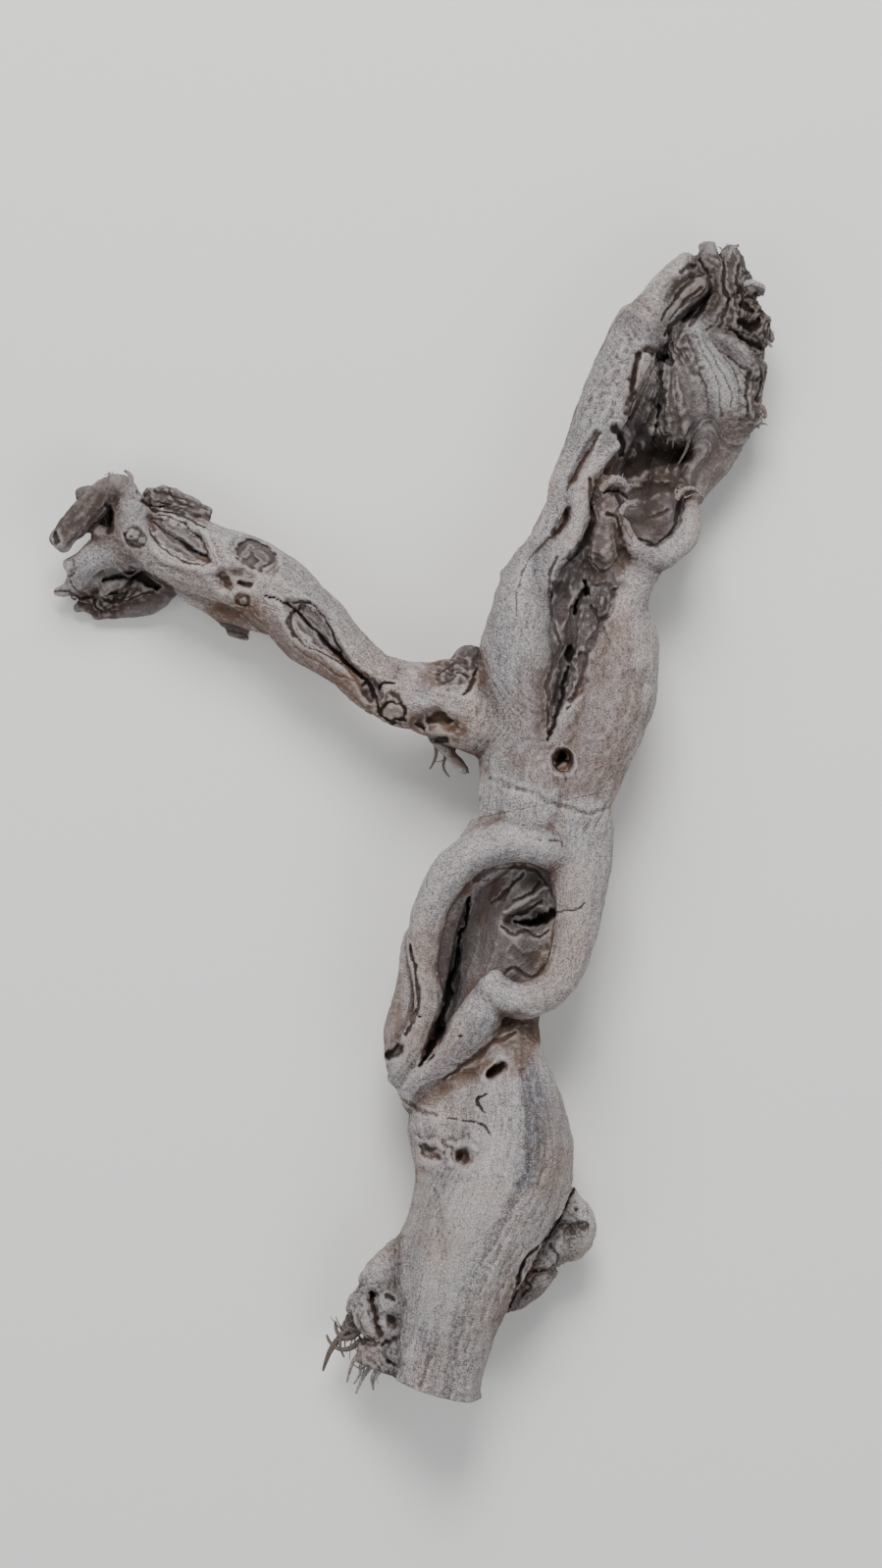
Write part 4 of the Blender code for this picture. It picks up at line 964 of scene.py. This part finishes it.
points, normals = points_of(wood.data), normals_of(wood.data)
upper = normals[:, 2] > 0.05
for row, depth in HOLLOWS.values():
    points[:, 2] -= upper * depth * MILLIMETRE * nearness(points, row)
lumps = noise(points * 110) * 0.0006 + noise(points * 260 + 7) * 0.0003
move_points(wood.data, points + normals * lumps[:, None])
applied(wood, "REMESH", mode="VOXEL", voxel_size=SKIN_VOXEL)
keep_outer_skin(wood)
applied(wood, "SMOOTH", factor=0.5, iterations=2)

# Grain coordinates in millimetres: across and along the strands near each point, blended where
# strands meet, and how dead the wood there is.
points = points_of(wood.data)
weight = np.full(len(points), 1e-9)
across_sum, along_sum, dead_sum = np.zeros(len(points)), np.zeros(len(points)), np.zeros(len(points))
for name, row in STRANDS.items():
    knots = np.array([(*place(*knot[:3]), knot[3] * MILLIMETRE) for knot in row])
    line = rounded(knots)
    reach = line[:, 3].max() + 0.006
    low, high = line[:, :3].min(0) - reach, line[:, :3].max(0) + reach
    inside = np.flatnonzero(((points > low) & (points < high)).all(1))
    spots = points[inside]
    best = np.full(len(inside), 1.0)
    arc = np.concatenate([[0], np.cumsum(np.linalg.norm(np.diff(line[:, :3], axis=0), axis=1))])
    heading = knots[-1, :2] - knots[0, :2]
    heading = heading / np.linalg.norm(heading)
    turn = 1 if (heading[1] > 0 if abs(heading[1]) > 0.5 else heading[0] > 0) else -1
    middle = line[len(line) // 2, :2]
    side = np.array([heading[1], -heading[0]]) * turn
    along_at = middle @ heading * turn - turn * arc[len(line) // 2]
    across_at = middle @ side
    across, along = np.zeros(len(inside)), np.zeros(len(inside))
    for index in range(len(line) - 1):
        start, span = line[index, :3], line[index + 1, :3] - line[index, :3]
        share = np.clip((spots - start) @ span / (span @ span), 0, 1)
        off = spots - start - share[:, None] * span
        radius = line[index, 3] + share * (line[index + 1, 3] - line[index, 3])
        gap = np.linalg.norm(off, axis=1) - radius
        nearer = gap < best
        best = np.where(nearer, gap, best)
        right = np.array([span[1], -span[0], 0.0]) * turn
        right = right / max(np.linalg.norm(right), 1e-9)
        angle = np.arctan2(off @ right, off[:, 2] + 0.25 * radius)
        across = np.where(nearer, across_at + radius * angle, across)
        travelled = arc[index] + share * (arc[index + 1] - arc[index])
        along = np.where(nearer, along_at + turn * travelled, along)
    share = np.exp(-np.clip(best, -0.005, 0.04) / STRAND_BLEND)
    weight[inside] += share
    across_sum[inside] += share * across
    along_sum[inside] += share * along
    dead_sum[inside] += share * DEAD_STRANDS.get(name, 0.0)
across = across_sum / weight / MILLIMETRE
along = along_sum / weight / MILLIMETRE
dead = np.clip(dead_sum / weight, 0, 1)

# The fine strokes, with painted shade in their cracks and holes, then the fibres that the blast has left
# standing.
normals = normals_of(wood.data)
upper = np.clip(normals[:, 2] * 4, 0, 1)
stroke_shade = np.zeros(len(points))
carved = points.copy()
level = np.zeros(len(points))
shift = np.column_stack([noise(points * 190 + 3), noise(points * 190 + 31), level])
shift += 0.4 * np.column_stack([noise(points * 520 + 5), noise(points * 520 + 57), level])
frayed = points + shift * FRAY
swell = 1 + 0.45 * noise(points * 150 + 13) + 0.25 * noise(points * 420 + 17)
for row, depth, darkness, *edge in STROKES.values():
    near = nearness(frayed, row, swell, *edge)
    carved[:, 2] -= upper * depth * MILLIMETRE * near
    # Each stroke paints shade into its inside; a negative darkness takes painted shade away.
    if darkness < 0:
        stroke_shade *= 1 + darkness * near
    else:
        stroke_shade = np.maximum(stroke_shade, darkness * near**3 * (normals[:, 2] > -0.2))
# Threads and ropes run along the grain, grains are short, and the stipple is the blast's own. Each
# weight is a height in metres.
waver = noise(np.column_stack([across / 14, along / 30, points[:, 2] * 40])) * 3
threads = np.column_stack([(across + waver) / 1.9, along / 24, np.full(len(points), 3.5)])
ropes = np.column_stack([(across + waver) / 5.2, along / 60, np.full(len(points), 9.5)])
grains = np.column_stack([(across + waver) / 1.5, along / 4.5, points[:, 2] * 200])
stipple = noise(points * 620)
live_skin = (
    noise(threads) * 0.00016 + noise(grains) * 0.00026 + noise(ropes) * 0.00032
    + noise(points * 85 + 5) * 0.0007 + stipple * 0.0002
)
dead_skin = (
    noise(threads) * 0.0005 + noise(ropes) * 0.0008 + noise(points * 210) * 0.0006
    + noise(points * 95 + 8) * 0.0012 + stipple * 0.0002
)
skin = live_skin * (1 - dead) + dead_skin * dead
flakes = np.column_stack([(across + waver) / 2.4, along / 6, points[:, 2] * 160])
crumbs = 0.8 * noise(flakes) + 0.8 * noise(points * 430 + 23)
crumbs = crumbs + 0.5 * np.abs(noise(points * 230 + 9)) - 0.1
for row, strength in ROUGH_PATCHES.values():
    skin += crumbs * CRUMB_HEIGHT * strength * nearness(frayed, row, swell)
for row, height in DEAD_FLOORS.values():
    below = np.clip((height * MILLIMETRE - points[:, 2]) / DEAD_FADE, 0, 1)
    dead = np.maximum(dead, 0.9 * nearness(frayed, row, swell) * below)
rough = 1 - 0.6 * stroke_shade
carved += normals * (skin * rough)[:, None]
carved[:, 2] = np.where(points[:, 2] < WORN_HEIGHT, points[:, 2], carved[:, 2])
move_points(wood.data, carved)

# Hollowness: how far each point lies below the smoothed wood round it, at two sizes. The finish paints
# shade into these creases.
mesh = wood.data
ends = np.empty(len(mesh.edges) * 2, np.int32)
mesh.edges.foreach_get("vertices", ends)
first, second = ends[0::2], ends[1::2]
count = np.bincount(ends, minlength=len(points))[:, None]


def smoothed(rows, times):
    """Each row averaged with its neighbours along the mesh, many times."""
    for _ in range(times):
        total = np.empty_like(rows)
        for column in range(rows.shape[1]):
            total[:, column] = np.bincount(first, rows[second, column], len(rows))
            total[:, column] += np.bincount(second, rows[first, column], len(rows))
        rows = 0.3 * rows + 0.7 * total / count
    return rows


def sunken_depth(rows):
    """How deep each point lies between higher wood on two opposite sides of it, in millimetres."""
    cell = 0.0015
    low = rows[:, :2].min(0) - 0.03
    spots = ((rows[:, :2] - low) / cell).astype(int)
    width, height = spots.max(0) + 20
    ground = np.zeros((width, height))
    np.maximum.at(ground, (spots[:, 0], spots[:, 1]), rows[:, 2])
    brim = np.zeros_like(ground)
    for across_step, down_step in ((1, 0), (0, 1), (1, 1), (1, -1)):
        sides = []
        for way in (1, -1):
            highest = ground.copy()
            for far in range(1, 10):
                moved = np.roll(ground, (way * far * across_step, way * far * down_step), (0, 1))
                highest = np.maximum(highest, moved)
            sides.append(highest)
        brim = np.maximum(brim, np.minimum(*sides))
    for axis in (0, 1, 0, 1):
        brim = 0.5 * brim + 0.25 * (np.roll(brim, 1, axis) + np.roll(brim, -1, axis))
    return np.maximum(brim[spots[:, 0], spots[:, 1]] - rows[:, 2], 0) / MILLIMETRE


# How deep each point is sunken, which sets the painted shade of hollows in the finish.
sunken = sunken_depth(carved) * np.clip(normals[:, 2] * 2 + 0.7, 0, 1)
near_wood = smoothed(carved, 6)
wide_wood = smoothed(near_wood, 50)
normals = smoothed(normals_of(mesh), 3)
small_hollow = np.clip(((near_wood - carved) * normals).sum(1) / (0.0003 + 0.0003 * dead), -1, 1)
# The pale patches lower the hollowness, so they are mixed pale in the finish; on the burl and the butt
# this is painted light.
for row, strength in PALE_PATCHES.values():
    small_hollow -= strength * nearness(points, row)
wide_hollow = np.clip(((wide_wood - carved) * normals).sum(1) / 0.0022, -1, 1)
blue = np.zeros(len(points))
for row, strength in BLUE_BANDS.values():
    blue = np.maximum(blue, strength * nearness(points, row))
brown = np.zeros(len(points))
for row, strength in BROWN_PATCHES.values():
    brown = np.maximum(brown, strength * nearness(frayed, row, swell))
dark_tone_and_shade = np.zeros(len(points))
for row, strength in DARK_TONE_AND_SHADE_PATCHES.values():
    dark_tone_and_shade = np.maximum(dark_tone_and_shade, strength * nearness(frayed, row, swell))

fields = {
    "across": across + waver, "along": along, "dead": dead, "stroke_shade": stroke_shade,
    "small_hollow": small_hollow, "wide_hollow": wide_hollow, "blue": blue, "brown": brown,
    "dark_tone_and_shade": dark_tone_and_shade, "sunken": smoothed(sunken[:, None], 2)[:, 0],
}
for name, values in fields.items():
    layer = mesh.attributes.new(name, "FLOAT", "POINT")
    layer.data.foreach_set("value", values.astype(np.float32))
for polygon in mesh.polygons:
    polygon.use_smooth = True


# The finish: bare wood, grey where the weather has reached it, tan where it was sheltered, brown in
# the rot, with pale raised fibres and a sandblasted stipple. Shade is painted in too: brown in creases
# and shallow hollows, darker in small creases and the darkest patches, nearly black in cracks and deep
# hollows.
def linear(red, green, blue_part):
    """A shown colour, 0 to 255, as linear light."""
    parts = [
        ((part / 255 + 0.055) / 1.055) ** 2.4 if part > 10 else part / 3294
        for part in (red, green, blue_part)
    ]
    return (*parts, 1.0)


PALE_WOOD = linear(180, 173, 172)
GREY_WOOD = linear(154, 151, 155)
TAN_WOOD = linear(166, 141, 125)
BLUE_WOOD = linear(110, 113, 123)
# Brown for brown wood, and for the painted shade of creases and hollows.
BROWN_TONE_AND_SHADE = linear(112, 82, 64)
DEAD_WOOD = linear(116, 109, 111)
# Dark rotten wood, and the colour of painted shade in the darkest patches.
ROT_TONE_AND_SHADE = linear(70, 58, 53)
LINE_WOOD = linear(92, 79, 70)
SHADE_WOOD = linear(66, 51, 43)
CREST_WOOD = linear(210, 202, 196)
# The nearly black of painted shade in cracks and deep hollows.
HOLLOW_SHADE = linear(20, 15, 13)


def new_group(name, inputs, outputs):
    """An empty shader node group with named inputs and outputs."""
    group = bpy.data.node_groups.new(name, "ShaderNodeTree")
    for label, kind, value in inputs:
        socket = group.interface.new_socket(label, in_out="INPUT", socket_type=kind)
        if value is not None:
            socket.default_value = value
    for label, kind in outputs:
        group.interface.new_socket(label, in_out="OUTPUT", socket_type=kind)
    return group


def fibre_group():
    """Streaks along the grain, from 0 to 1, with a given width and length in millimetres."""
    group = new_group(
        "fibres",
        [
            ("Width", "NodeSocketFloat", 1.0),
            ("Length", "NodeSocketFloat", 20.0),
            ("Seed", "NodeSocketFloat", 0.0),
        ],
        [("Value", "NodeSocketFloat")],
    )
    nodes, links = group.nodes, group.links
    given = nodes.new("NodeGroupInput")
    result = nodes.new("NodeGroupOutput")
    across_node = nodes.new("ShaderNodeAttribute")
    across_node.attribute_name = "across"
    along_node = nodes.new("ShaderNodeAttribute")
    along_node.attribute_name = "along"
    wide = nodes.new("ShaderNodeMath")
    wide.operation = "DIVIDE"
    long = nodes.new("ShaderNodeMath")
    long.operation = "DIVIDE"
    spot = nodes.new("ShaderNodeCombineXYZ")
    streaks = nodes.new("ShaderNodeTexNoise")
    streaks.inputs["Scale"].default_value = 1.0
    streaks.inputs["Detail"].default_value = 3.0
    streaks.inputs["Roughness"].default_value = 0.6
    links.new(across_node.outputs["Fac"], wide.inputs[0])
    links.new(given.outputs["Width"], wide.inputs[1])
    links.new(along_node.outputs["Fac"], long.inputs[0])
    links.new(given.outputs["Length"], long.inputs[1])
    links.new(wide.outputs[0], spot.inputs[0])
    links.new(long.outputs[0], spot.inputs[1])
    links.new(given.outputs["Seed"], spot.inputs[2])
    links.new(spot.outputs[0], streaks.inputs["Vector"])
    links.new(streaks.outputs[0], result.inputs["Value"])
    return group


def wood_material(fibres):
    """The finish of all three pieces."""
    material = bpy.data.materials.new("sandblasted_vine")
    material.use_nodes = True
    nodes, links = material.node_tree.nodes, material.node_tree.links
    shader = nodes["Principled BSDF"]
    shader.inputs["Specular IOR Level"].default_value = 0.25

    def field(name):
        node = nodes.new("ShaderNodeAttribute")
        node.attribute_name = name
        return node.outputs["Fac"]

    def streaks(width, length, seed):
        node = nodes.new("ShaderNodeGroup")
        node.node_tree = fibres
        node.inputs["Width"].default_value = width
        node.inputs["Length"].default_value = length
        node.inputs["Seed"].default_value = seed
        return node.outputs["Value"]

    def spread(value, low, high, to_low=0.0, to_high=1.0):
        node = nodes.new("ShaderNodeMapRange")
        node.inputs["From Min"].default_value = low
        node.inputs["From Max"].default_value = high
        node.inputs["To Min"].default_value = to_low
        node.inputs["To Max"].default_value = to_high
        links.new(value, node.inputs["Value"])
        return node.outputs[0]

    def times(a, b):
        node = nodes.new("ShaderNodeMath")
        node.operation = "MULTIPLY"
        for socket, part in zip(node.inputs, (a, b)):
            if isinstance(part, float):
                socket.default_value = part
            else:
                links.new(part, socket)
        return node.outputs[0]

    # In a mix of colours, sockets 6 and 7 take the two colours and output 2 gives the result.
    def mixed(share, under, over):
        node = nodes.new("ShaderNodeMix")
        node.data_type = "RGBA"
        links.new(share, node.inputs[0])
        for socket, part in ((node.inputs[6], under), (node.inputs[7], over)):
            if isinstance(part, tuple):
                socket.default_value = part
            else:
                links.new(part, socket)
        return node.outputs[2]

    spot = nodes.new("ShaderNodeTexCoord").outputs["Object"]

    def cloud(scale, detail):
        node = nodes.new("ShaderNodeTexNoise")
        node.inputs["Scale"].default_value = scale
        node.inputs["Detail"].default_value = detail
        links.new(spot, node.inputs["Vector"])
        return node.outputs[0]

    fine = streaks(0.9, 3.0, 1.3)
    middling = streaks(2.6, 26.0, 7.7)
    broad = streaks(5.0, 70.0, 4.1)
    speck = cloud(1200.0, 2.0)
    drift = cloud(22.0, 3.0)
    # From the broad tone, through stains, dead wood and painted shade in the hollows, to the fibres and
    # the painted shade of cracks and deep hollows.
    colour = mixed(spread(broad, 0.35, 0.68), PALE_WOOD, GREY_WOOD)
    colour = mixed(times(spread(drift, 0.45, 0.68), 0.55), colour, TAN_WOOD)
    # Blue-grey weathering, and painted shade on the limb's left sides.
    colour = mixed(times(field("blue"), spread(broad, 0.25, 0.6, 0.7, 1.0)), colour, BLUE_WOOD)
    colour = mixed(spread(speck, 0.54, 0.66, 0.0, 0.6), colour, CREST_WOOD)
    # Brown and tan wood, and painted shade under the arm, on the flanks and at the neck.
    colour = mixed(times(field("brown"), spread(drift, 0.3, 0.6, 0.45, 1.0)), colour, BROWN_TONE_AND_SHADE)
    # Painted shade: brown in broad creases.
    colour = mixed(spread(field("wide_hollow"), 0.1, 1.0, 0.0, 0.62), colour, BROWN_TONE_AND_SHADE)
    # Painted shade: brown in shallow sunken hollows.
    colour = mixed(spread(field("sunken"), 1.5, 9.0, 0.0, 0.85), colour, BROWN_TONE_AND_SHADE)
    colour = mixed(spread(field("dead"), 0.1, 0.7, 0.0, 0.95), colour, DEAD_WOOD)
    colour = mixed(times(field("dead"), spread(middling, 0.42, 0.66, 0.0, 0.6)), colour, ROT_TONE_AND_SHADE)
    # More of the same brown wood and painted shade.
    colour = mixed(times(field("brown"), 0.25), colour, BROWN_TONE_AND_SHADE)
    # Dark rotten wood, and painted shade in the deep hollow, the cup and the creases.
    colour = mixed(field("dark_tone_and_shade"), colour, ROT_TONE_AND_SHADE)
    colour = mixed(spread(fine, 0.5, 0.36, 0.0, 0.4), colour, LINE_WOOD)
    colour = mixed(spread(speck, 0.5, 0.36, 0.0, 0.72), colour, LINE_WOOD)
    # Painted shade in small creases.
    colour = mixed(spread(field("small_hollow"), 0.08, 1.0, 0.0, 0.62), colour, SHADE_WOOD)
    # Paler on raised crests and on the pale patches; on the burl and the butt this is painted light.
    colour = mixed(spread(field("small_hollow"), -0.1, -0.9, 0.0, 0.3), colour, CREST_WOOD)
    # Painted shade: nearly black deep in the sunken hollows.
    colour = mixed(spread(field("sunken"), 10.0, 30.0, 0.0, 0.75), colour, HOLLOW_SHADE)
    # Painted shade, nearly black, in the strokes' cracks and holes.
    colour = mixed(spread(field("stroke_shade"), 0.1, 0.8, 0.0, 0.93), colour, HOLLOW_SHADE)
    links.new(colour, shader.inputs["Base Color"])
    links.new(spread(speck, 0.3, 0.7, 0.8, 0.97), shader.inputs["Roughness"])

    height = nodes.new("ShaderNodeMath")
    height.operation = "ADD"
    links.new(times(fine, 1.0), height.inputs[0])
    links.new(times(speck, 1.0), height.inputs[1])
    bump = nodes.new("ShaderNodeBump")
    bump.inputs["Strength"].default_value = 0.9
    bump.inputs["Distance"].default_value = 0.0014
    links.new(height.outputs[0], bump.inputs["Height"])
    links.new(bump.outputs["Normal"], shader.inputs["Normal"])
    return material


vine_finish = wood_material(fibre_group())

# The three pieces: the wood is sawn across the butt, worn flat where it rests, and split where it
# forks, with hair-thin gaps between the pieces.
SAW_CUT = ((229, 711.5, 60), (-0.27, -0.95, -0.10))
WAIST_PLANE = ((278, 410, 40), (-0.20, 0.98, 0.0))
ARM_PLANE = ((242.6, 362, 42), (-1.0, -0.03, 0.0))
HALF_GAP = 0.00004
# The most that a piece's wood has before its twigs are added.
PIECE_TRIANGLES = 156000


def cut_away(cut_form, point, normal):
    """Removes all that lies past the plane, on the side that it faces, and closes the cut flat."""
    geometry = cut_form.verts[:] + cut_form.edges[:] + cut_form.faces[:]
    made = bmesh.ops.bisect_plane(
        cut_form, geom=geometry, dist=1e-7, plane_co=point, plane_no=normal, clear_outer=True
    )
    rim = [item for item in made["geom_cut"] if isinstance(item, bmesh.types.BMEdge)]
    bmesh.ops.holes_fill(cut_form, edges=rim, sides=0)


def section(name, cuts):
    """A copy of the wood that ends at the given planes, as a named piece."""
    cut_form = bmesh.new()
    cut_form.from_mesh(wood.data)
    for point, normal in cuts:
        cut_away(cut_form, point, normal)
    bmesh.ops.triangulate(cut_form, faces=cut_form.faces[:], ngon_method="EAR_CLIP")
    cut_mesh = bpy.data.meshes.new(name)
    cut_form.to_mesh(cut_mesh)
    cut_form.free()
    piece = bpy.data.objects.new(name, cut_mesh)
    keep_outer_skin(piece)
    piece.data.materials.append(vine_finish)
    bpy.context.scene.collection.objects.link(piece)
    triangles = sum(len(polygon.vertices) - 2 for polygon in piece.data.polygons)
    if triangles > PIECE_TRIANGLES:
        applied(piece, "DECIMATE", ratio=PIECE_TRIANGLES / triangles, use_collapse_triangulate=True)
    return piece


# Thin roots and tendrils as strands, each with how brown it is.
TWIGS = {
    "vine_trunk": [
        (
            [(182, 676, 29, 2.4), (174, 683, 27, 1.9), (168.5, 690, 25, 1.5), (165.5, 697, 22, 1.1),
             (164, 702, 20, 0.5)],
            0.9,
        ),
        ([(184, 679, 30, 2), (177, 684, 30, 1.5), (172, 682, 28, 1.1), (170.5, 676, 26, 0.6)], 0.9),
        ([(184, 685, 30, 1.8), (176, 690, 28, 1.3), (169, 688, 26, 1), (166, 683, 25, 0.6)], 0.8),
        ([(186, 681, 31, 1.6), (178, 679, 31, 1.2), (173, 686, 29, 0.9), (175, 694, 28, 0.5)], 0.8),
        ([(187, 690, 30, 1.6), (181, 694, 30, 1.1), (178, 701, 28, 0.8), (176.5, 707, 27, 0.4)], 0.2),
        ([(190, 692, 31, 1.4), (184, 697, 30, 1), (183, 703, 28, 0.7), (180, 708, 26, 0.4)], 0.1),
        ([(190, 697, 29, 1.5), (185, 704, 28, 1), (181, 713, 25, 0.5)], 0.0),
        ([(194, 700, 30, 1.6), (190, 706, 28, 1), (190, 711, 26, 0.5)], 0.0),
    ],
    "vine_upper_limb": [
        ([(352, 221, 40, 1.2), (350, 229, 37, 0.8), (346, 236, 35, 0.4)], 1.0),
        ([(306, 250, 52, 2), (310, 246.5, 54, 1.8), (315, 246, 54.5, 1.4), (318.5, 248.5, 53, 0.7)], 0.2),
        ([(316, 262, 48, 1.8), (320, 257, 49, 1.5), (324, 257.5, 48, 0.9)], 0.1),
        ([(345, 254, 41, 1.6), (350, 249, 42, 1.3), (356, 250, 40, 0.8), (359, 254, 38, 0.4)], 0.2),
        ([(376, 146, 39, 1.8), (383, 143.5, 40, 1.6), (390, 146, 38, 1.1)], -0.5),
        ([(386, 170, 38, 1.7), (391, 173, 37, 1.2), (394, 176, 35, 0.6)], -0.5),
        ([(371, 133, 38, 1.8), (373, 127, 38, 1.3), (377, 124, 36, 0.7)], 0.3),
        ([(384, 205, 36, 1.8), (389, 207, 36, 1.4), (391, 212, 34, 0.7)], 0.5),
    ],
    "vine_side_arm": [
        ([(220, 376, 35, 1.6), (224, 382, 34, 1), (230, 386, 33, 0.8), (239, 394, 32, 0.4)], 0.7),
        ([(222, 379, 34, 1.2), (222, 386, 33, 0.8), (219, 392, 32, 0.4)], 0.7),
        ([(228, 384, 33, 1), (226, 391, 32, 0.7), (229, 396, 31, 0.4)], 0.7),
        ([(62, 246, 38, 2), (57, 243, 39, 1.3), (55, 240.5, 38, 0.6)], 0.3),
        ([(66, 247, 38, 1.8), (66, 242, 39, 1.2), (63, 239.5, 38, 0.6)], 0.3),
    ],
}
# Loose fibres, as (across, down, height) of the root, the way they point in degrees (90 is down the
# sheet) and how far that spreads, their length, how many, and how brown they are.
WISPS = {
    "vine_trunk": [
        ((180, 682, 29), 140, 65, 16, 12, 0.9),
        ((188, 699, 30), 112, 28, 11, 7, 0.0),
        ((272, 655, 26), 60, 50, 5, 6, 0.4),
    ],
    "vine_upper_limb": [
        ((371, 130, 37), -75, 40, 7, 12, 0.5),
        ((391, 171, 36), 10, 55, 4, 9, 0.0),
        ((387, 213, 34), 20, 45, 4, 7, 0.6),
        ((346, 252, 40), -25, 60, 7, 8, 0.1),
        ((316, 247, 52), 0, 45, 7, 7, 0.1),
        ((342, 221, 40), 95, 40, 6, 8, 1.0),
    ],
    "vine_side_arm": [
        ((226, 378, 33), 75, 45, 15, 5, 0.7),
        ((56, 244, 37), -100, 60, 5, 8, 0.7),
        ((34, 303, 10), 165, 50, 6, 6, 0.9),
        ((122, 319, 20), 80, 40, 5, 5, 0.8),
    ],
}
THREADS = np.random.default_rng(23)


def add_wisps(piece):
    """Adds the piece's twigs and loose wavy fibres to it."""
    hairy = bmesh.new()
    hairy.from_mesh(piece.data)
    rows = [(row, tone, 3) for row, tone in TWIGS[piece.name]]
    for root, way, spread_angle, length, count, tone in WISPS[piece.name]:
        for _ in range(count):
            heading = np.radians(way + THREADS.uniform(-spread_angle, spread_angle))
            turn = THREADS.uniform(-0.5, 0.5)
            step = length * THREADS.uniform(0.5, 1.0) / 4
            thickness = THREADS.uniform(0.35, 0.75)
            spot = np.array(root, float) + THREADS.uniform(-3, 3, 3) * (1, 1, 0.5)
            row = []
            for knot in range(5):
                row.append((*spot, thickness * (1 - 0.17 * knot)))
                heading += turn + THREADS.uniform(-0.35, 0.35)
                rise = THREADS.uniform(-0.5, 0.3)
                spot = spot + (np.cos(heading) * step, np.sin(heading) * step, rise * step)
                spot[2] = max(spot[2], 2.0)
            rows.append((row, tone, 1))
    for row, tone, roundness in rows:
        before = len(hairy.verts)
        hairy.from_mesh(strand_mesh(row, roundness))
        hairy.verts.ensure_lookup_table()
        for vertex in hairy.verts[before:]:
            vertex[hairy.verts.layers.float["brown"]] = 0.5 * tone
            vertex[hairy.verts.layers.float["dark_tone_and_shade"]] = 0.6 * tone
            vertex[hairy.verts.layers.float["across"]] = vertex.co.x / MILLIMETRE
            vertex[hairy.verts.layers.float["along"]] = vertex.co.y / MILLIMETRE
    bmesh.ops.remove_doubles(hairy, verts=hairy.verts, dist=1e-7)
    bmesh.ops.triangulate(hairy, faces=hairy.faces[:])
    hairy.to_mesh(piece.data)
    hairy.free()


saw = (place(*SAW_CUT[0]), Vector(SAW_CUT[1]).normalized())
waist_point, waist_normal = place(*WAIST_PLANE[0]), Vector(WAIST_PLANE[1]).normalized()
arm_point, arm_normal = place(*ARM_PLANE[0]), Vector(ARM_PLANE[1]).normalized()
underside = (Vector((0, 0, 0)), Vector((0, 0, -1)))
above_waist = (waist_point + waist_normal * HALF_GAP, -waist_normal)
below_waist = (waist_point - waist_normal * HALF_GAP, waist_normal)
trunk = section("vine_trunk", [underside, saw, below_waist])
limb_end = (arm_point - arm_normal * HALF_GAP, arm_normal)
arm_end = (arm_point + arm_normal * HALF_GAP, -arm_normal)
limb = section("vine_upper_limb", [underside, above_waist, limb_end])
arm = section("vine_side_arm", [underside, above_waist, arm_end])
bpy.data.objects.remove(wood)
for piece, node in ((trunk, "trunk"), (limb, "upper_limb"), (arm, "side_arm")):
    add_wisps(piece)
    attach(piece, "root")
    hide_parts(node)

# A plain floor, a soft light from above the head, and a camera straight above the wood.
FLOOR_COLOUR = linear(236, 234, 230)
FLOOR_HALF_SIDE = 4
SKY_COLOUR = linear(226, 232, 240)
SKY_STRENGTH = 0.36
floor_mesh = bpy.data.meshes.new("floor")
form = bmesh.new()
bmesh.ops.create_grid(form, x_segments=1, y_segments=1, size=FLOOR_HALF_SIDE)
form.to_mesh(floor_mesh)
form.free()
floor = bpy.data.objects.new("floor", floor_mesh)
bpy.context.scene.collection.objects.link(floor)
floor_finish = bpy.data.materials.new("floor")
floor_finish.use_nodes = True
floor_shader = floor_finish.node_tree.nodes["Principled BSDF"]
floor_shader.inputs["Base Color"].default_value = FLOOR_COLOUR
floor_shader.inputs["Roughness"].default_value = 0.9
floor_shader.inputs["Specular IOR Level"].default_value = 0.1
floor.data.materials.append(floor_finish)

# Each light's place and side in metres, and its power in watts.
LIGHTS = {
    "key": ((-0.05, 1.6, 1.8), 1.1, 60),
    "fill": ((-1.6, -0.6, 2.0), 1.6, 16),
    "front": ((1.4, -1.2, 2.2), 1.6, 22),
}
for name, (spot, size, power) in LIGHTS.items():
    light = bpy.data.lights.new(name, "AREA")
    light.size = size
    light.energy = power
    lamp = bpy.data.objects.new(name, light)
    lamp.location = spot
    lamp.rotation_mode = "QUATERNION"
    lamp.rotation_quaternion = (-Vector(spot)).to_track_quat("-Z", "Y")
    bpy.context.scene.collection.objects.link(lamp)
sky = bpy.data.worlds.new("sky")
sky.use_nodes = True
sky.node_tree.nodes["Background"].inputs["Color"].default_value = SKY_COLOUR
sky.node_tree.nodes["Background"].inputs["Strength"].default_value = SKY_STRENGTH
bpy.context.scene.world = sky

# What one pixel of the picture shows at the height that is sharp, in metres.
PIXEL = 0.0005
FRAME_PIXELS = (899, 1599)
CAMERA_HEIGHT = 2.5
SHARP_HEIGHT = 0.045
SENSOR_HEIGHT = 36
lens = bpy.data.cameras.new("camera")
lens.sensor_fit = "VERTICAL"
lens.sensor_height = SENSOR_HEIGHT
lens.lens = SENSOR_HEIGHT / FRAME_PIXELS[1] * (CAMERA_HEIGHT - SHARP_HEIGHT) / PIXEL
camera = bpy.data.objects.new("camera", lens)
frame_middle = [side * PIXEL / 2 for side in FRAME_PIXELS]
camera.location = (
    frame_middle[0] - DRAWN_MIDDLE[0] * MILLIMETRE,
    DRAWN_MIDDLE[1] * MILLIMETRE - frame_middle[1],
    CAMERA_HEIGHT,
)
bpy.context.scene.collection.objects.link(camera)
bpy.context.scene.camera = camera
